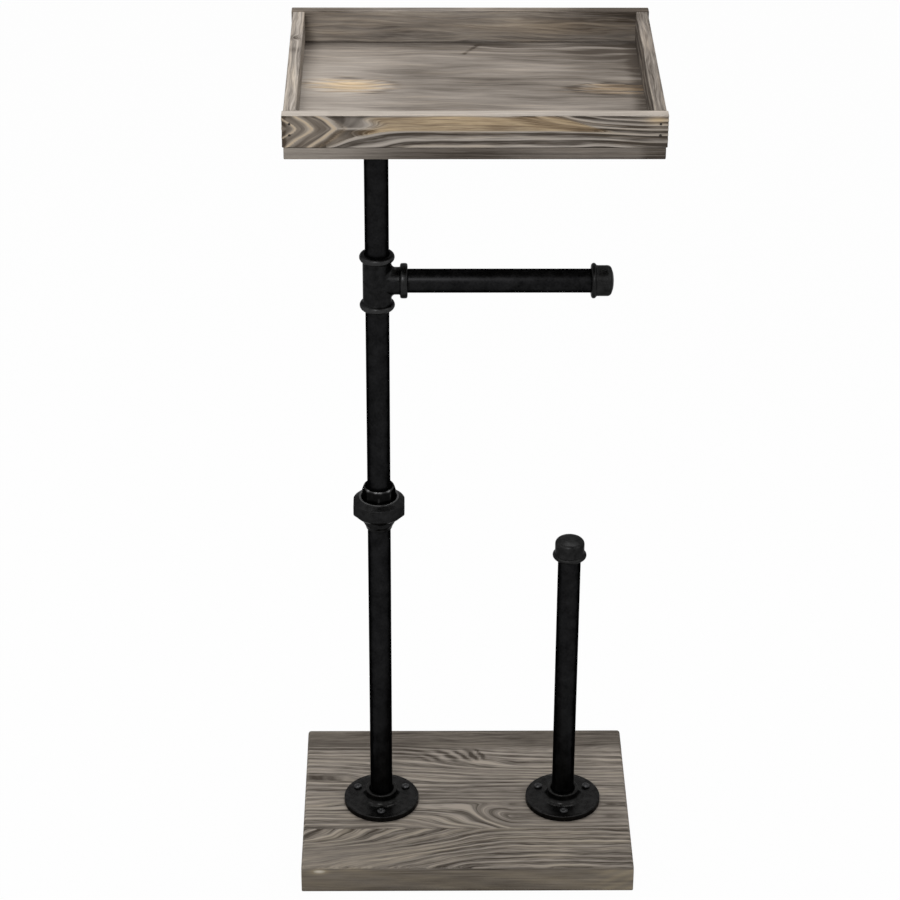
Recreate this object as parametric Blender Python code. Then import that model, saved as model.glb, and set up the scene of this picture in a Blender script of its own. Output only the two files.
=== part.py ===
"""A free-standing toilet paper stand of black pipe fittings and weathered pine boards.

Everything is in metres with +Z up. The origin is on the floor, under the middle of the base
board. +X runs along the arm and -Y faces the person who takes the paper.
"""

from math import cos, pi, radians, sin, sqrt, tan

import bmesh
import bpy
from mathutils import Matrix, Vector

# Clearances and cuts
GAP = 0.0003
LOOSE_GAP = 0.0006
OVERRUN = 0.002

# Steel pipe, cut to length and threaded at both ends
PIPE_OUTER = 0.0213
PIPE_WALL = 0.0028
PIPE_END_CHAMFER = 0.0008
THREAD_REACH = 0.012
LOWER_PIPE_LENGTH = 0.3215
MIDDLE_PIPE_LENGTH = 0.2061
UPPER_PIPE_LENGTH = 0.1488
ARM_PIPE_LENGTH = 0.186
SPINDLE_PIPE_LENGTH = 0.2882

# Base board, and where the post and the spindle stand on it
BASE_LENGTH = 0.316
BASE_DEPTH = 0.225
BASE_THICKNESS = 0.029
BASE_TOP_EASE = 0.003
BASE_EDGE_EASE = 0.0012
POST_END_DISTANCE = 0.0753
SPINDLE_END_DISTANCE = 0.0635
POST_SETBACK = -0.0062

# Floor flange, one casting used three times
FLANGE_DIAMETER = 0.0726
FLANGE_PLATE = 0.0055
FLANGE_HEIGHT = 0.0155
FLANGE_HUB_DIAMETER = 0.0312
FLANGE_HUB_ROUND = 0.0012
FLANGE_FILLET = 0.0022
FLANGE_RIM_ROUND = 0.0014
SCREW_CIRCLE = 0.054
SCREW_HOLE = 0.0054
SCREW_COUNT = 3
FIRST_SCREW_ANGLE = radians(-90)

# Wood screw with a pan head and a cross recess
SCREW_HEAD = 0.0078
SCREW_HEAD_HEIGHT = 0.0023
SCREW_HEAD_ROUND = 0.0014
SCREW_SHANK = 0.004
SCREW_POINT = 0.004
BASE_SCREW_LENGTH = 0.022
TRAY_SCREW_LENGTH = 0.0125
RECESS_SPAN = 0.0046
RECESS_WIDTH = 0.001
RECESS_DEPTH = 0.0013

# Passage inside the fittings, between their threads
FITTING_THROAT = 0.0172

# Union: lower end, nut, upper end and a seat ring between the ends
UNION_HEIGHT = 0.0445
UNION_LOWER_FLATS = 0.0278
UNION_UPPER_FLATS = 0.0288
UNION_COLLAR_CHAMFER = 0.0012
UNION_FLARE_START = 0.0095
UNION_THREAD = 0.0374
UNION_SHOULDER = 0.004
UNION_NOSE_HEIGHT = 0.0023
UNION_NOSE_INSET = 0.0046
UNION_EDGE_EASE = 0.0005
NUT_FLATS = 0.0432
NUT_HEIGHT = 0.0187
NUT_RISE = 0.0146
NUT_LIP = 0.004
NUT_CHAMFER = 0.002
SEAT_RING_WALL = 0.0035
SEAT_RING_HEIGHT = 0.0024

# Tee
TEE_REACH = 0.027
TEE_BODY = 0.0256
TEE_BRANCH_BODY = 0.0246
BEAD_DIAMETER = 0.0314
BEAD_WIDTH = 0.007
BEAD_ROUND = 0.002
BEAD_FILLET = 0.0012

# End cap, used on the arm and on the spindle
CAP_LENGTH = 0.0197
CAP_BODY = 0.0274
CAP_BEAD = 0.0316
CAP_BEAD_WIDTH = 0.0042
CAP_DOME = 0.0027
CAP_EDGE_ROUND = 0.0022

# Tray boards
TRAY_LENGTH = 0.316
TRAY_DEPTH = 0.2426
TRAY_FLOOR_THICKNESS = 0.010
TRAY_WALL_THICKNESS = 0.0105
TRAY_WALL_HEIGHT = 0.0289
TRAY_END_OVERHANG = 0.0012
TRAY_EASE = 0.001

# Nails that hold the tray together
NAIL_HEAD = 0.002
NAIL_HEAD_HEIGHT = 0.0008
NAIL_SHANK = 0.0013
NAIL_POINT = 0.002
NAIL_SINK = 0.0008
CORNER_NAIL_LENGTH = 0.022
FLOOR_NAIL_LENGTH = 0.017
CORNER_NAIL_SHARES = (0.28, 0.62)
FLOOR_NAIL_SHARE = 0.55

# How finely round pieces are divided: a whole number of steps for each of the eight flats
FLAT_COUNT = 8
PIPE_STEPS = 32
SCREW_STEPS = 12
NAIL_STEPS = 8
CORNER_STEPS = 2
DOME_STEPS = 3
EASE_STEPS = 2
SMOOTH_BELOW = radians(35)
STRAIGHT_WITHIN = radians(1)

# Sizes that follow, with heights in the union counted from its lower face
PIPE_RADIUS = PIPE_OUTER / 2
SOCKET_RADIUS = PIPE_RADIUS + GAP
THROAT_RADIUS = FITTING_THROAT / 2
POST_OFFSET = POST_END_DISTANCE - BASE_LENGTH / 2
SPINDLE_OFFSET = BASE_LENGTH / 2 - SPINDLE_END_DISTANCE
SHOULDER_TOP = NUT_RISE + NUT_HEIGHT - NUT_LIP - GAP
SHOULDER_LOW = SHOULDER_TOP - UNION_SHOULDER
BARREL_TOP = SHOULDER_LOW - GAP
SEAT_RING_TOP = BARREL_TOP - UNION_NOSE_HEIGHT
SEAT_RING_LOW = SEAT_RING_TOP - SEAT_RING_HEIGHT
SEAT_RING_INNER = THROAT_RADIUS + LOOSE_GAP
SEAT_RING_OUTER = SEAT_RING_INNER + SEAT_RING_WALL
WRENCH_CORNER = UNION_UPPER_FLATS / 2 / cos(pi / FLAT_COUNT)
QUARTER_TURN = pi / 2
HALF_TURN = pi


def clear_scene():
    for thing in list(bpy.data.objects):
        bpy.data.objects.remove(thing, do_unlink=True)


def finish(name, colour, roughness, metallic):
    """A plain Principled material."""
    material = bpy.data.materials.new(name)
    material.use_nodes = True
    shader = material.node_tree.nodes["Principled BSDF"]
    shader.inputs["Base Color"].default_value = (*colour, 1)
    shader.inputs["Roughness"].default_value = roughness
    shader.inputs["Metallic"].default_value = metallic
    material.diffuse_color = (*colour, 1)
    return material


def rounded(corners):
    """An outline from corners given as (radius, height, rounding), each rounding made an arc.

    A rounding is held to half of the shorter edge beside it. A corner with no rounding stays.
    """
    outline = []
    for index, (radius, height, rounding) in enumerate(corners):
        here = Vector((radius, height))
        before = Vector(corners[index - 1][:2]) - here
        after = Vector(corners[(index + 1) % len(corners)][:2]) - here
        half_angle = before.angle(after) / 2 if rounding else QUARTER_TURN
        if QUARTER_TURN - half_angle < STRAIGHT_WITHIN:
            outline.append(tuple(here))
            continue
        reach = min(rounding / tan(half_angle), before.length / 2, after.length / 2)
        radius_used = reach * tan(half_angle)
        bisector = (before.normalized() + after.normalized()).normalized()
        centre = here + bisector * radius_used / sin(half_angle)
        spoke = here + before.normalized() * reach - centre
        end = here + after.normalized() * reach - centre
        swing = spoke.angle_signed(end)
        for step in range(CORNER_STEPS + 1):
            outline.append(tuple(centre + Matrix.Rotation(-swing * step / CORNER_STEPS, 2) @ spoke))
    return outline


def ring_of(maker, steps, radius, height, flat=None, turn=0.0):
    """One ring of vertices, or the single one on the axis. A flat radius cuts it to eight sides."""
    if not radius:
        return [maker.verts.new((0, 0, height))]
    ring = []
    side = 2 * pi / FLAT_COUNT
    for step in range(steps):
        angle = 2 * pi * step / steps
        reach = radius
        if flat:
            off_flat = (angle - turn) % side - side / 2
            reach = min(radius, flat / cos(off_flat))
        ring.append(maker.verts.new((reach * cos(angle), reach * sin(angle), height)))
    return ring


def bridge(maker, first, second):
    """Faces between two rings, either of which may be a single point."""
    count = max(len(first), len(second))
    for step in range(count):
        ahead = (step + 1) % count
        corners = [first[step % len(first)], first[ahead % len(first)]]
        corners += [second[ahead % len(second)], second[step % len(second)]]
        maker.faces.new(dict.fromkeys(corners))


def mesh_from(maker, name):
    """Turns a bmesh into a mesh with its faces out, smooth but for its sharp edges."""
    bmesh.ops.recalc_face_normals(maker, faces=maker.faces)
    mesh = bpy.data.meshes.new(name)
    maker.to_mesh(mesh)
    maker.free()
    mesh.shade_smooth()
    mesh.set_sharp_from_angle(angle=SMOOTH_BELOW)
    return mesh


def turned(name, outline, steps=PIPE_STEPS, turn=0.0):
    """A body turned about Z from outline points (radius, height) or (radius, height, flat radius).

    An outline that keeps off the axis closes on itself. One that starts on it also ends on it.
    """
    maker = bmesh.new()
    rings = [ring_of(maker, steps, *point, turn=turn) for point in outline]
    for first, second in zip(rings, rings[1:]):
        bridge(maker, first, second)
    if len(rings[0]) > 1:
        bridge(maker, rings[-1], rings[0])
    return mesh_from(maker, name)


def empty(name, place, turn=(0, 0, 0), parent=None):
    marker = bpy.data.objects.new(name, None)
    bpy.context.scene.collection.objects.link(marker)
    marker.location = place
    marker.rotation_euler = turn
    marker.parent = parent
    return marker


def piece(name, mesh, material, place=(0, 0, 0), turn=(0, 0, 0), parent=None):
    """A named part of the stand, in the scene under its parent."""
    made = bpy.data.objects.new(name, mesh)
    bpy.context.scene.collection.objects.link(made)
    made.location = place
    made.rotation_euler = turn
    made.parent = parent
    if not mesh.materials:
        mesh.materials.append(material)
    return made


def cutter(name, mesh, place=(0, 0, 0), turn=(0, 0, 0), parent=None):
    """A helper body that shapes others and is no part of the stand."""
    helper = bpy.data.objects.new(name, mesh)
    bpy.context.scene.collection.objects.link(helper)
    helper.location = place
    helper.rotation_euler = turn
    helper.parent = parent
    helper.hide_render = True
    helper.display_type = "WIRE"
    return helper


def shape_with(made, helper, operation="DIFFERENCE"):
    boolean = made.modifiers.new(operation.lower(), "BOOLEAN")
    boolean.operation = operation
    boolean.solver = "EXACT"
    boolean.object = helper


def settled(name, mesh, helpers):
    """A mesh with its helpers cut from it, so that several objects can share the result."""
    draft = bpy.data.objects.new(name, mesh)
    bpy.context.scene.collection.objects.link(draft)
    for helper in helpers:
        shape_with(draft, helper)
    bpy.context.view_layer.update()
    graph = bpy.context.evaluated_depsgraph_get()
    result = bpy.data.meshes.new_from_object(draft.evaluated_get(graph))
    result.name = name
    bpy.data.objects.remove(draft, do_unlink=True)
    for helper in helpers:
        bpy.data.objects.remove(helper, do_unlink=True)
    result.shade_smooth()
    result.set_sharp_from_angle(angle=SMOOTH_BELOW)
    return result


def rods(name, radius, low, high, places, steps):
    """Separate upright rods at the given places, as one cutter mesh."""
    maker = bmesh.new()
    for across, along in places:
        bmesh.ops.create_cone(
            maker,
            cap_ends=True,
            segments=steps,
            radius1=radius,
            radius2=radius,
            depth=high - low,
            matrix=Matrix.Translation((across, along, (high + low) / 2)),
        )
    return mesh_from(maker, name)


def pipe_mesh(name, length):
    """A tube from 0 to its length, with the outer edge of each cut end taken off."""
    bore = PIPE_RADIUS - PIPE_WALL
    chamfer = min(PIPE_END_CHAMFER, PIPE_WALL / 2)
    return turned(
        name,
        [
            (bore, 0),
            (PIPE_RADIUS - chamfer, 0),
            (PIPE_RADIUS, chamfer),
            (PIPE_RADIUS, length - chamfer),
            (PIPE_RADIUS - chamfer, length),
            (bore, length),
        ],
    )


def screw_places():
    """The screw holes of a flange, evenly round their circle."""
    radius = SCREW_CIRCLE / 2
    turns = [FIRST_SCREW_ANGLE + 2 * pi * index / SCREW_COUNT for index in range(SCREW_COUNT)]
    return [(radius * cos(turn), radius * sin(turn)) for turn in turns]


def flange_mesh():
    """A round plate with an upright hub, bored through, lying on the plane z = 0."""
    rim = FLANGE_DIAMETER / 2
    hub = FLANGE_HUB_DIAMETER / 2
    outline = rounded(
        [
            (SOCKET_RADIUS, 0, 0),
            (rim, 0, 0),
            (rim, FLANGE_PLATE, FLANGE_RIM_ROUND),
            (hub, FLANGE_PLATE, FLANGE_FILLET),
            (hub, FLANGE_HEIGHT, FLANGE_HUB_ROUND),
            (SOCKET_RADIUS, FLANGE_HEIGHT, 0),
        ]
    )
    holes = rods(
        "flange_holes",
        SCREW_HOLE / 2,
        -OVERRUN,
        FLANGE_PLATE + OVERRUN,
        screw_places(),
        SCREW_STEPS,
    )
    return settled("floor_flange", turned("flange_blank", outline), [cutter("flange_drill", holes)])


def cross_mesh():
    """The upright plus-shaped bit of the recess, centred on z = 0."""
    maker = bmesh.new()
    half_span = RECESS_SPAN / 2
    half_width = RECESS_WIDTH / 2
    points = []
    for quarter in range(4):
        swing = Matrix.Rotation(QUARTER_TURN * quarter, 2)
        for corner in ((half_span, -half_width), (half_span, half_width), (half_width, half_width)):
            points.append(swing @ Vector(corner))
    ring = [maker.verts.new((point.x, point.y, -RECESS_DEPTH)) for point in points]
    base = maker.faces.new(ring)
    grown = bmesh.ops.extrude_face_region(maker, geom=[base])["geom"]
    raised = [item for item in grown if isinstance(item, bmesh.types.BMVert)]
    bmesh.ops.translate(maker, vec=(0, 0, RECESS_DEPTH * 2), verts=raised)
    return mesh_from(maker, "cross_bit")


def screw_mesh(name, length):
    """A wood screw hanging below the plane z = 0, with its head above it."""
    head = SCREW_HEAD / 2
    shank = SCREW_SHANK / 2
    outline = rounded(
        [
            (0, -length, 0),
            (shank, SCREW_POINT - length, 0),
            (shank, 0, 0),
            (head, 0, 0),
            (head, SCREW_HEAD_HEIGHT, SCREW_HEAD_ROUND),
            (0, SCREW_HEAD_HEIGHT, 0),
        ]
    )
    blank = turned(name + "_blank", outline, SCREW_STEPS)
    return settled(name, blank, [cutter(name + "_bit", cross_mesh(), (0, 0, SCREW_HEAD_HEIGHT))])


def flange_group(prefix, flange, screw, screw_length, black, parent, turn=(0, 0, 0)):
    """A flange with its screws on a board's face. It returns the cutter of their pilot holes."""
    seat = empty(prefix + "_seat", (0, 0, 0), turn, parent)
    piece(prefix, flange, black, (0, 0, GAP), parent=seat)
    under_head = GAP + FLANGE_PLATE + GAP
    for number, (across, along) in enumerate(screw_places(), start=1):
        place = (across, along, under_head)
        piece(f"{prefix}_screw_{number}", screw, black, place, parent=seat)
    holes = rods(
        prefix + "_pilots",
        SCREW_SHANK / 2 + GAP,
        under_head - screw_length - GAP,
        OVERRUN,
        screw_places(),
        SCREW_STEPS,
    )
    return cutter(prefix + "_pilot_drill", holes, parent=seat)


def board(name, material, low, high, ease, top_ease=None, parent=None):
    """A board between two corners, with its edges eased and its origin at its own middle."""
    middle = (Vector(low) + Vector(high)) / 2
    half = (Vector(high) - Vector(low)) / 2
    maker = bmesh.new()
    bmesh.ops.create_cube(maker, size=2, matrix=Matrix.Diagonal((*half, 1)))
    widest = max(ease, top_ease or ease)
    weights = maker.edges.layers.float.new("bevel_weight_edge")
    for edge in maker.edges:
        on_top = all(vert.co.z > 0 for vert in edge.verts)
        edge[weights] = (top_ease if top_ease and on_top else ease) / widest
    made = piece(name, mesh_from(maker, name), material, middle, parent=parent)
    bevel = made.modifiers.new("eased_edges", "BEVEL")
    bevel.width = widest
    bevel.segments = EASE_STEPS
    bevel.limit_method = "WEIGHT"
    return made


def union_lower_mesh():
    """The union's lower end: an eight-sided collar that flares to the barrel with the thread."""
    flat = UNION_LOWER_FLATS / 2
    corner = flat / cos(pi / FLAT_COUNT)
    barrel = UNION_THREAD / 2
    pocket = SEAT_RING_OUTER + GAP
    pocket_low = SEAT_RING_LOW - GAP
    return turned(
        "union_lower",
        [
            (SOCKET_RADIUS, 0),
            (corner - UNION_COLLAR_CHAMFER, 0, flat),
            (corner, UNION_COLLAR_CHAMFER, flat),
            (corner, UNION_FLARE_START, flat),
            (barrel, NUT_RISE - GAP),
            (barrel, BARREL_TOP - UNION_EDGE_EASE),
            (barrel - UNION_EDGE_EASE, BARREL_TOP),
            (pocket + UNION_NOSE_INSET, BARREL_TOP),
            (pocket, SEAT_RING_TOP),
            (pocket, pocket_low),
            (THROAT_RADIUS, pocket_low),
            (THROAT_RADIUS, THREAD_REACH + GAP),
            (SOCKET_RADIUS, THREAD_REACH + GAP),
        ],
        turn=pi / FLAT_COUNT,
    )


def seat_ring_mesh():
    """The soft ring that the two ends of the union are drawn together on."""
    return turned(
        "seat_ring",
        [
            (SEAT_RING_INNER, 0),
            (SEAT_RING_OUTER, 0),
            (SEAT_RING_OUTER, SEAT_RING_HEIGHT),
            (SEAT_RING_INNER, SEAT_RING_HEIGHT),
        ],
    )


def union_upper_mesh():
    """The union's upper end, from its nose to the top of its eight-sided collar.

    Its zero is the union's lower face, as on the lower end.
    """
    flat = UNION_UPPER_FLATS / 2
    shoulder = UNION_THREAD / 2 - GAP
    nose_low = SHOULDER_LOW - UNION_NOSE_HEIGHT
    nose = THROAT_RADIUS + SEAT_RING_WALL
    socket_end = UNION_HEIGHT - THREAD_REACH - GAP
    return turned(
        "union_upper",
        [
            (THROAT_RADIUS, nose_low),
            (nose, nose_low),
            (nose + UNION_NOSE_INSET, SHOULDER_LOW),
            (shoulder, SHOULDER_LOW),
            (shoulder, SHOULDER_TOP),
            (WRENCH_CORNER, SHOULDER_TOP, flat),
            (WRENCH_CORNER, UNION_HEIGHT - UNION_COLLAR_CHAMFER, flat),
            (WRENCH_CORNER - UNION_COLLAR_CHAMFER, UNION_HEIGHT, flat),
            (SOCKET_RADIUS, UNION_HEIGHT),
            (SOCKET_RADIUS, socket_end),
            (THROAT_RADIUS, socket_end),
        ],
    )


def nut_mesh():
    """The eight-sided nut, open below for the thread and lipped above to hold the upper end."""
    flat = NUT_FLATS / 2
    corner = flat / cos(pi / FLAT_COUNT)
    rim = corner - NUT_CHAMFER
    hole = WRENCH_CORNER + LOOSE_GAP
    bore = UNION_THREAD / 2 + GAP
    lip_low = NUT_HEIGHT - NUT_LIP
    return turned(
        "union_nut",
        [
            (bore, 0),
            (rim, 0, flat),
            (corner, NUT_CHAMFER, flat),
            (corner, NUT_HEIGHT - NUT_CHAMFER, flat),
            (rim, NUT_HEIGHT, flat),
            (hole, NUT_HEIGHT),
            (hole, lip_low),
            (bore, lip_low),
        ],
    )


def tee_arm_mesh(name, body, start, beads):
    """A solid length of the tee from start to its reach, with a bead round each named end."""
    bead = BEAD_DIAMETER / 2
    corners = [(0, start, 0)]
    if "start" in beads:
        corners += [
            (bead, start, BEAD_ROUND),
            (bead, start + BEAD_WIDTH, BEAD_ROUND),
            (body / 2, start + BEAD_WIDTH, BEAD_FILLET),
        ]
    else:
        corners += [(body / 2, start, 0)]
    corners += [
        (body / 2, TEE_REACH - BEAD_WIDTH, BEAD_FILLET),
        (bead, TEE_REACH - BEAD_WIDTH, BEAD_ROUND),
        (bead, TEE_REACH, BEAD_ROUND),
        (0, TEE_REACH, 0),
    ]
    return turned(name, rounded(corners))


def tee_bore_mesh(name, start, throat, socket_at_start):
    """The cut for the pipe sockets of one line of the tee, and the narrower throat between."""
    corners = [(0, TEE_REACH + OVERRUN), (SOCKET_RADIUS, TEE_REACH + OVERRUN)]
    corners += [(SOCKET_RADIUS, TEE_REACH - THREAD_REACH - GAP)]
    corners += [(throat, TEE_REACH - THREAD_REACH - GAP)]
    if socket_at_start:
        corners += [(throat, start + THREAD_REACH + GAP), (SOCKET_RADIUS, start + THREAD_REACH + GAP)]
        corners += [(SOCKET_RADIUS, start - OVERRUN), (0, start - OVERRUN)]
    else:
        corners += [(throat, start), (0, start)]
    return turned(name, corners)


def make_tee(black, parent, arm_turn):
    """The tee: a straight run with a branch for the arm, bored for three pipes."""
    run = tee_arm_mesh("tee_run", TEE_BODY, -TEE_REACH, ("start", "end"))
    tee = piece("tee", run, black, parent=parent)
    branch = tee_arm_mesh("tee_branch", TEE_BRANCH_BODY, 0, ("end",))
    shape_with(tee, cutter("tee_branch_body", branch, turn=arm_turn, parent=parent), "UNION")
    run_bore = tee_bore_mesh("tee_run_bore", -TEE_REACH, THROAT_RADIUS, True)
    shape_with(tee, cutter("tee_run_drill", run_bore, parent=parent))
    branch_bore = tee_bore_mesh("tee_branch_bore", 0, THROAT_RADIUS - GAP, False)
    shape_with(tee, cutter("tee_branch_drill", branch_bore, turn=arm_turn, parent=parent))
    return tee


def cap_mesh():
    """An end cap with its open face at z = 0, a bead round it and a low dome over its far end."""
    body = CAP_BODY / 2
    bead = CAP_BEAD / 2
    shoulder = CAP_LENGTH - CAP_DOME
    ball = (body**2 + CAP_DOME**2) / (2 * CAP_DOME)
    corners = [
        (0, THREAD_REACH + GAP, 0),
        (SOCKET_RADIUS, THREAD_REACH + GAP, 0),
        (SOCKET_RADIUS, 0, 0),
        (bead, 0, BEAD_ROUND),
        (bead, CAP_BEAD_WIDTH, BEAD_ROUND),
        (body, CAP_BEAD_WIDTH + bead - body, BEAD_FILLET),
        (body, shoulder, CAP_EDGE_ROUND),
    ]
    for step in range(1, DOME_STEPS):
        radius = body * (1 - step / DOME_STEPS)
        corners.append((radius, CAP_LENGTH - ball + sqrt(ball**2 - radius**2), 0))
    corners.append((0, CAP_LENGTH, 0))
    return turned("end_cap", rounded(corners))


def nail_mesh(name, length):
    """A nail pointing down from the plane z = 0, which is the top of its head."""
    return turned(
        name,
        [
            (0, -length),
            (NAIL_SHANK / 2, NAIL_POINT - length),
            (NAIL_SHANK / 2, -NAIL_HEAD_HEIGHT),
            (NAIL_HEAD / 2, -NAIL_HEAD_HEIGHT),
            (NAIL_HEAD / 2, 0),
            (0, 0),
        ],
        NAIL_STEPS,
    )


def nail_hole_mesh(name, length):
    """The hole for a nail of this length, open above z = 0 where the head was driven in."""
    head = NAIL_HEAD / 2 + GAP
    shank = NAIL_SHANK / 2 + GAP
    ledge = -NAIL_HEAD_HEIGHT - GAP
    return turned(
        name,
        [
            (0, -length - GAP),
            (shank, -length - GAP),
            (shank, ledge),
            (head, ledge),
            (head, NAIL_SINK + OVERRUN),
            (0, NAIL_SINK + OVERRUN),
        ],
        NAIL_STEPS,
    )


def nail_rows():
    """Every nail of the tray: its name, which kind it is, its place and how it is turned."""
    side = TRAY_LENGTH / 2 - TRAY_END_OVERHANG - TRAY_WALL_THICKNESS / 2
    face = TRAY_DEPTH / 2
    wall_low = TRAY_FLOOR_THICKNESS + GAP
    rows = []
    for end, facing, swing in (("front", -1, QUARTER_TURN), ("back", 1, -QUARTER_TURN)):
        for hand, across in (("left", -side), ("right", side)):
            for number, share in enumerate(CORNER_NAIL_SHARES, start=1):
                height = wall_low + TRAY_WALL_HEIGHT * (1 - share)
                place = (across, facing * (face - NAIL_SINK), height)
                rows.append((f"tray_nail_{end}_{hand}_{number}", "corner", place, (swing, 0, 0)))
    along = FLOOR_NAIL_SHARE * TRAY_LENGTH / 2
    under = face - TRAY_WALL_THICKNESS / 2
    spots = [("front_left", -along, -under), ("front_right", along, -under)]
    spots += [("back_left", -along, under), ("back_right", along, under)]
    spots += [("left", -side, 0), ("right", side, 0)]
    for spot, across, back in spots:
        rows.append((f"floor_nail_{spot}", "floor", (across, back, NAIL_SINK), (HALF_TURN, 0, 0)))
    return rows


def make_tray(wood, steel, parent):
    """The tray's floor and walls, nailed together. It returns the floor board."""
    half_length = TRAY_LENGTH / 2
    half_depth = TRAY_DEPTH / 2
    floor_half = half_length - TRAY_END_OVERHANG
    wall_low = TRAY_FLOOR_THICKNESS + GAP
    wall_high = wall_low + TRAY_WALL_HEIGHT
    inner_depth = half_depth - TRAY_WALL_THICKNESS
    inner_length = floor_half - TRAY_WALL_THICKNESS
    side_half = inner_depth - GAP
    floor = ((-floor_half, floor_half), (-half_depth, half_depth), (0, TRAY_FLOOR_THICKNESS))
    rise = (wall_low, wall_high)
    spans = {
        "tray_floor": floor,
        "tray_front_wall": ((-half_length, half_length), (-half_depth, -inner_depth), rise),
        "tray_back_wall": ((-half_length, half_length), (inner_depth, half_depth), rise),
        "tray_left_wall": ((-floor_half, -inner_length), (-side_half, side_half), rise),
        "tray_right_wall": ((inner_length, floor_half), (-side_half, side_half), rise),
    }
    boards = {}
    for name, span in spans.items():
        boards[name] = board(name, wood, *zip(*span), TRAY_EASE, parent=parent)
    nails = {
        "corner": nail_mesh("corner_nail", CORNER_NAIL_LENGTH),
        "floor": nail_mesh("floor_nail", FLOOR_NAIL_LENGTH),
    }
    holes = {
        "corner": nail_hole_mesh("corner_nail_hole", CORNER_NAIL_LENGTH),
        "floor": nail_hole_mesh("floor_nail_hole", FLOOR_NAIL_LENGTH),
    }
    for name, kind, place, turn in nail_rows():
        piece(name, nails[kind], steel, place, turn, parent)
        drill = cutter(name + "_drill", holes[kind], place, turn, parent)
        for board_name in nailed_boards(name, kind):
            shape_with(boards[board_name], drill)
    return boards["tray_floor"]


def nailed_boards(name, kind):
    """The two tray boards that a nail goes through, read from its name."""
    words = name.split("_")
    if kind == "floor":
        return "tray_floor", f"tray_{words[2]}_wall"
    return f"tray_{words[2]}_wall", f"tray_{words[3]}_wall"


def build():
    clear_scene()
    wood = finish("weathered_pine", (0.27, 0.235, 0.2), 0.75, 0)
    black = finish("black_pipe", (0.02, 0.02, 0.021), 0.45, 0.6)
    steel = finish("nail_steel", (0.12, 0.115, 0.11), 0.5, 0.9)
    brass = finish("seat_brass", (0.6, 0.45, 0.2), 0.35, 1)

    flange = flange_mesh()
    cap = cap_mesh()
    long_screw = screw_mesh("wood_screw", BASE_SCREW_LENGTH)
    short_screw = screw_mesh("short_wood_screw", TRAY_SCREW_LENGTH)

    # Base board
    half_length = BASE_LENGTH / 2
    half_depth = BASE_DEPTH / 2
    base = board(
        "base_board",
        wood,
        (-half_length, -half_depth, 0),
        (half_length, half_depth, BASE_THICKNESS),
        BASE_EDGE_EASE,
        BASE_TOP_EASE,
    )

    # Post, from its flange to the lower end of the union
    post = empty("post_axis", (POST_OFFSET, POST_SETBACK, BASE_THICKNESS))
    pilots = flange_group("post_flange", flange, long_screw, BASE_SCREW_LENGTH, black, post)
    shape_with(base, pilots)
    pipe_low = GAP + FLANGE_HEIGHT - THREAD_REACH
    lower = pipe_mesh("lower_pipe", LOWER_PIPE_LENGTH)
    piece("lower_pipe", lower, black, (0, 0, pipe_low), parent=post)
    union_low = pipe_low + LOWER_PIPE_LENGTH - THREAD_REACH
    union = empty("union_axis", (0, 0, union_low), parent=post)
    piece("union_lower_end", union_lower_mesh(), black, parent=union)
    piece("union_seat_ring", seat_ring_mesh(), brass, (0, 0, SEAT_RING_LOW), parent=union)
    piece("union_nut", nut_mesh(), black, (0, 0, NUT_RISE), parent=union)

    # Upper stand, which turns on the union
    upper = empty("upper_stand_axis", (0, 0, 0), parent=union)
    piece("union_upper_end", union_upper_mesh(), black, parent=upper)
    middle_low = UNION_HEIGHT - THREAD_REACH
    middle = pipe_mesh("middle_pipe", MIDDLE_PIPE_LENGTH)
    piece("middle_pipe", middle, black, (0, 0, middle_low), parent=upper)
    tee_height = middle_low + MIDDLE_PIPE_LENGTH - THREAD_REACH + TEE_REACH
    tee_middle = empty("tee_middle", (0, 0, tee_height), parent=upper)
    arm_turn = (0, QUARTER_TURN, 0)
    make_tee(black, tee_middle, arm_turn)
    upper_low = tee_height + TEE_REACH - THREAD_REACH
    top = pipe_mesh("upper_pipe", UPPER_PIPE_LENGTH)
    piece("upper_pipe", top, black, (0, 0, upper_low), parent=upper)

    # Arm, which screws into the tee, and its cap
    arm = empty("arm_axis", (0, 0, 0), arm_turn, tee_middle)
    arm_low = TEE_REACH - THREAD_REACH
    piece("arm_pipe", pipe_mesh("arm_pipe", ARM_PIPE_LENGTH), black, (0, 0, arm_low), parent=arm)
    cap_place = (0, 0, arm_low + ARM_PIPE_LENGTH - THREAD_REACH)
    piece("arm_cap", cap, black, cap_place, parent=arm)

    # Tray on its flange at the top of the post
    tray_height = upper_low + UPPER_PIPE_LENGTH - THREAD_REACH + FLANGE_HEIGHT + GAP
    tray_seat = empty("tray_seat", (0, 0, tray_height), parent=upper)
    over = (HALF_TURN, 0, 0)
    tray_pilots = flange_group(
        "tray_flange", flange, short_screw, TRAY_SCREW_LENGTH, black, tray_seat, over
    )
    tray = empty("tray_middle", (-POST_OFFSET, -POST_SETBACK, 0), parent=tray_seat)
    tray_floor = make_tray(wood, steel, tray)
    shape_with(tray_floor, tray_pilots)

    # Spindle for the spare rolls
    spindle = empty("spindle_axis", (SPINDLE_OFFSET, POST_SETBACK, BASE_THICKNESS))
    pilots = flange_group("spindle_flange", flange, long_screw, BASE_SCREW_LENGTH, black, spindle)
    shape_with(base, pilots)
    upright = pipe_mesh("spindle_pipe", SPINDLE_PIPE_LENGTH)
    piece("spindle_pipe", upright, black, (0, 0, pipe_low), parent=spindle)
    cap_place = (0, 0, pipe_low + SPINDLE_PIPE_LENGTH - THREAD_REACH)
    piece("spindle_cap", cap, black, cap_place, parent=spindle)


build()
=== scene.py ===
"""The finished look of a free-standing toilet paper stand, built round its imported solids.

Everything is in metres with +Z up, in the frame of the solids. The sections follow the stand as it
is put together: base board, flanges and screws, pipes, union, tee, caps, tray, nails, studio.
"""

import math

import bpy
import numpy as np
from mathutils import Matrix, Vector


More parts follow.
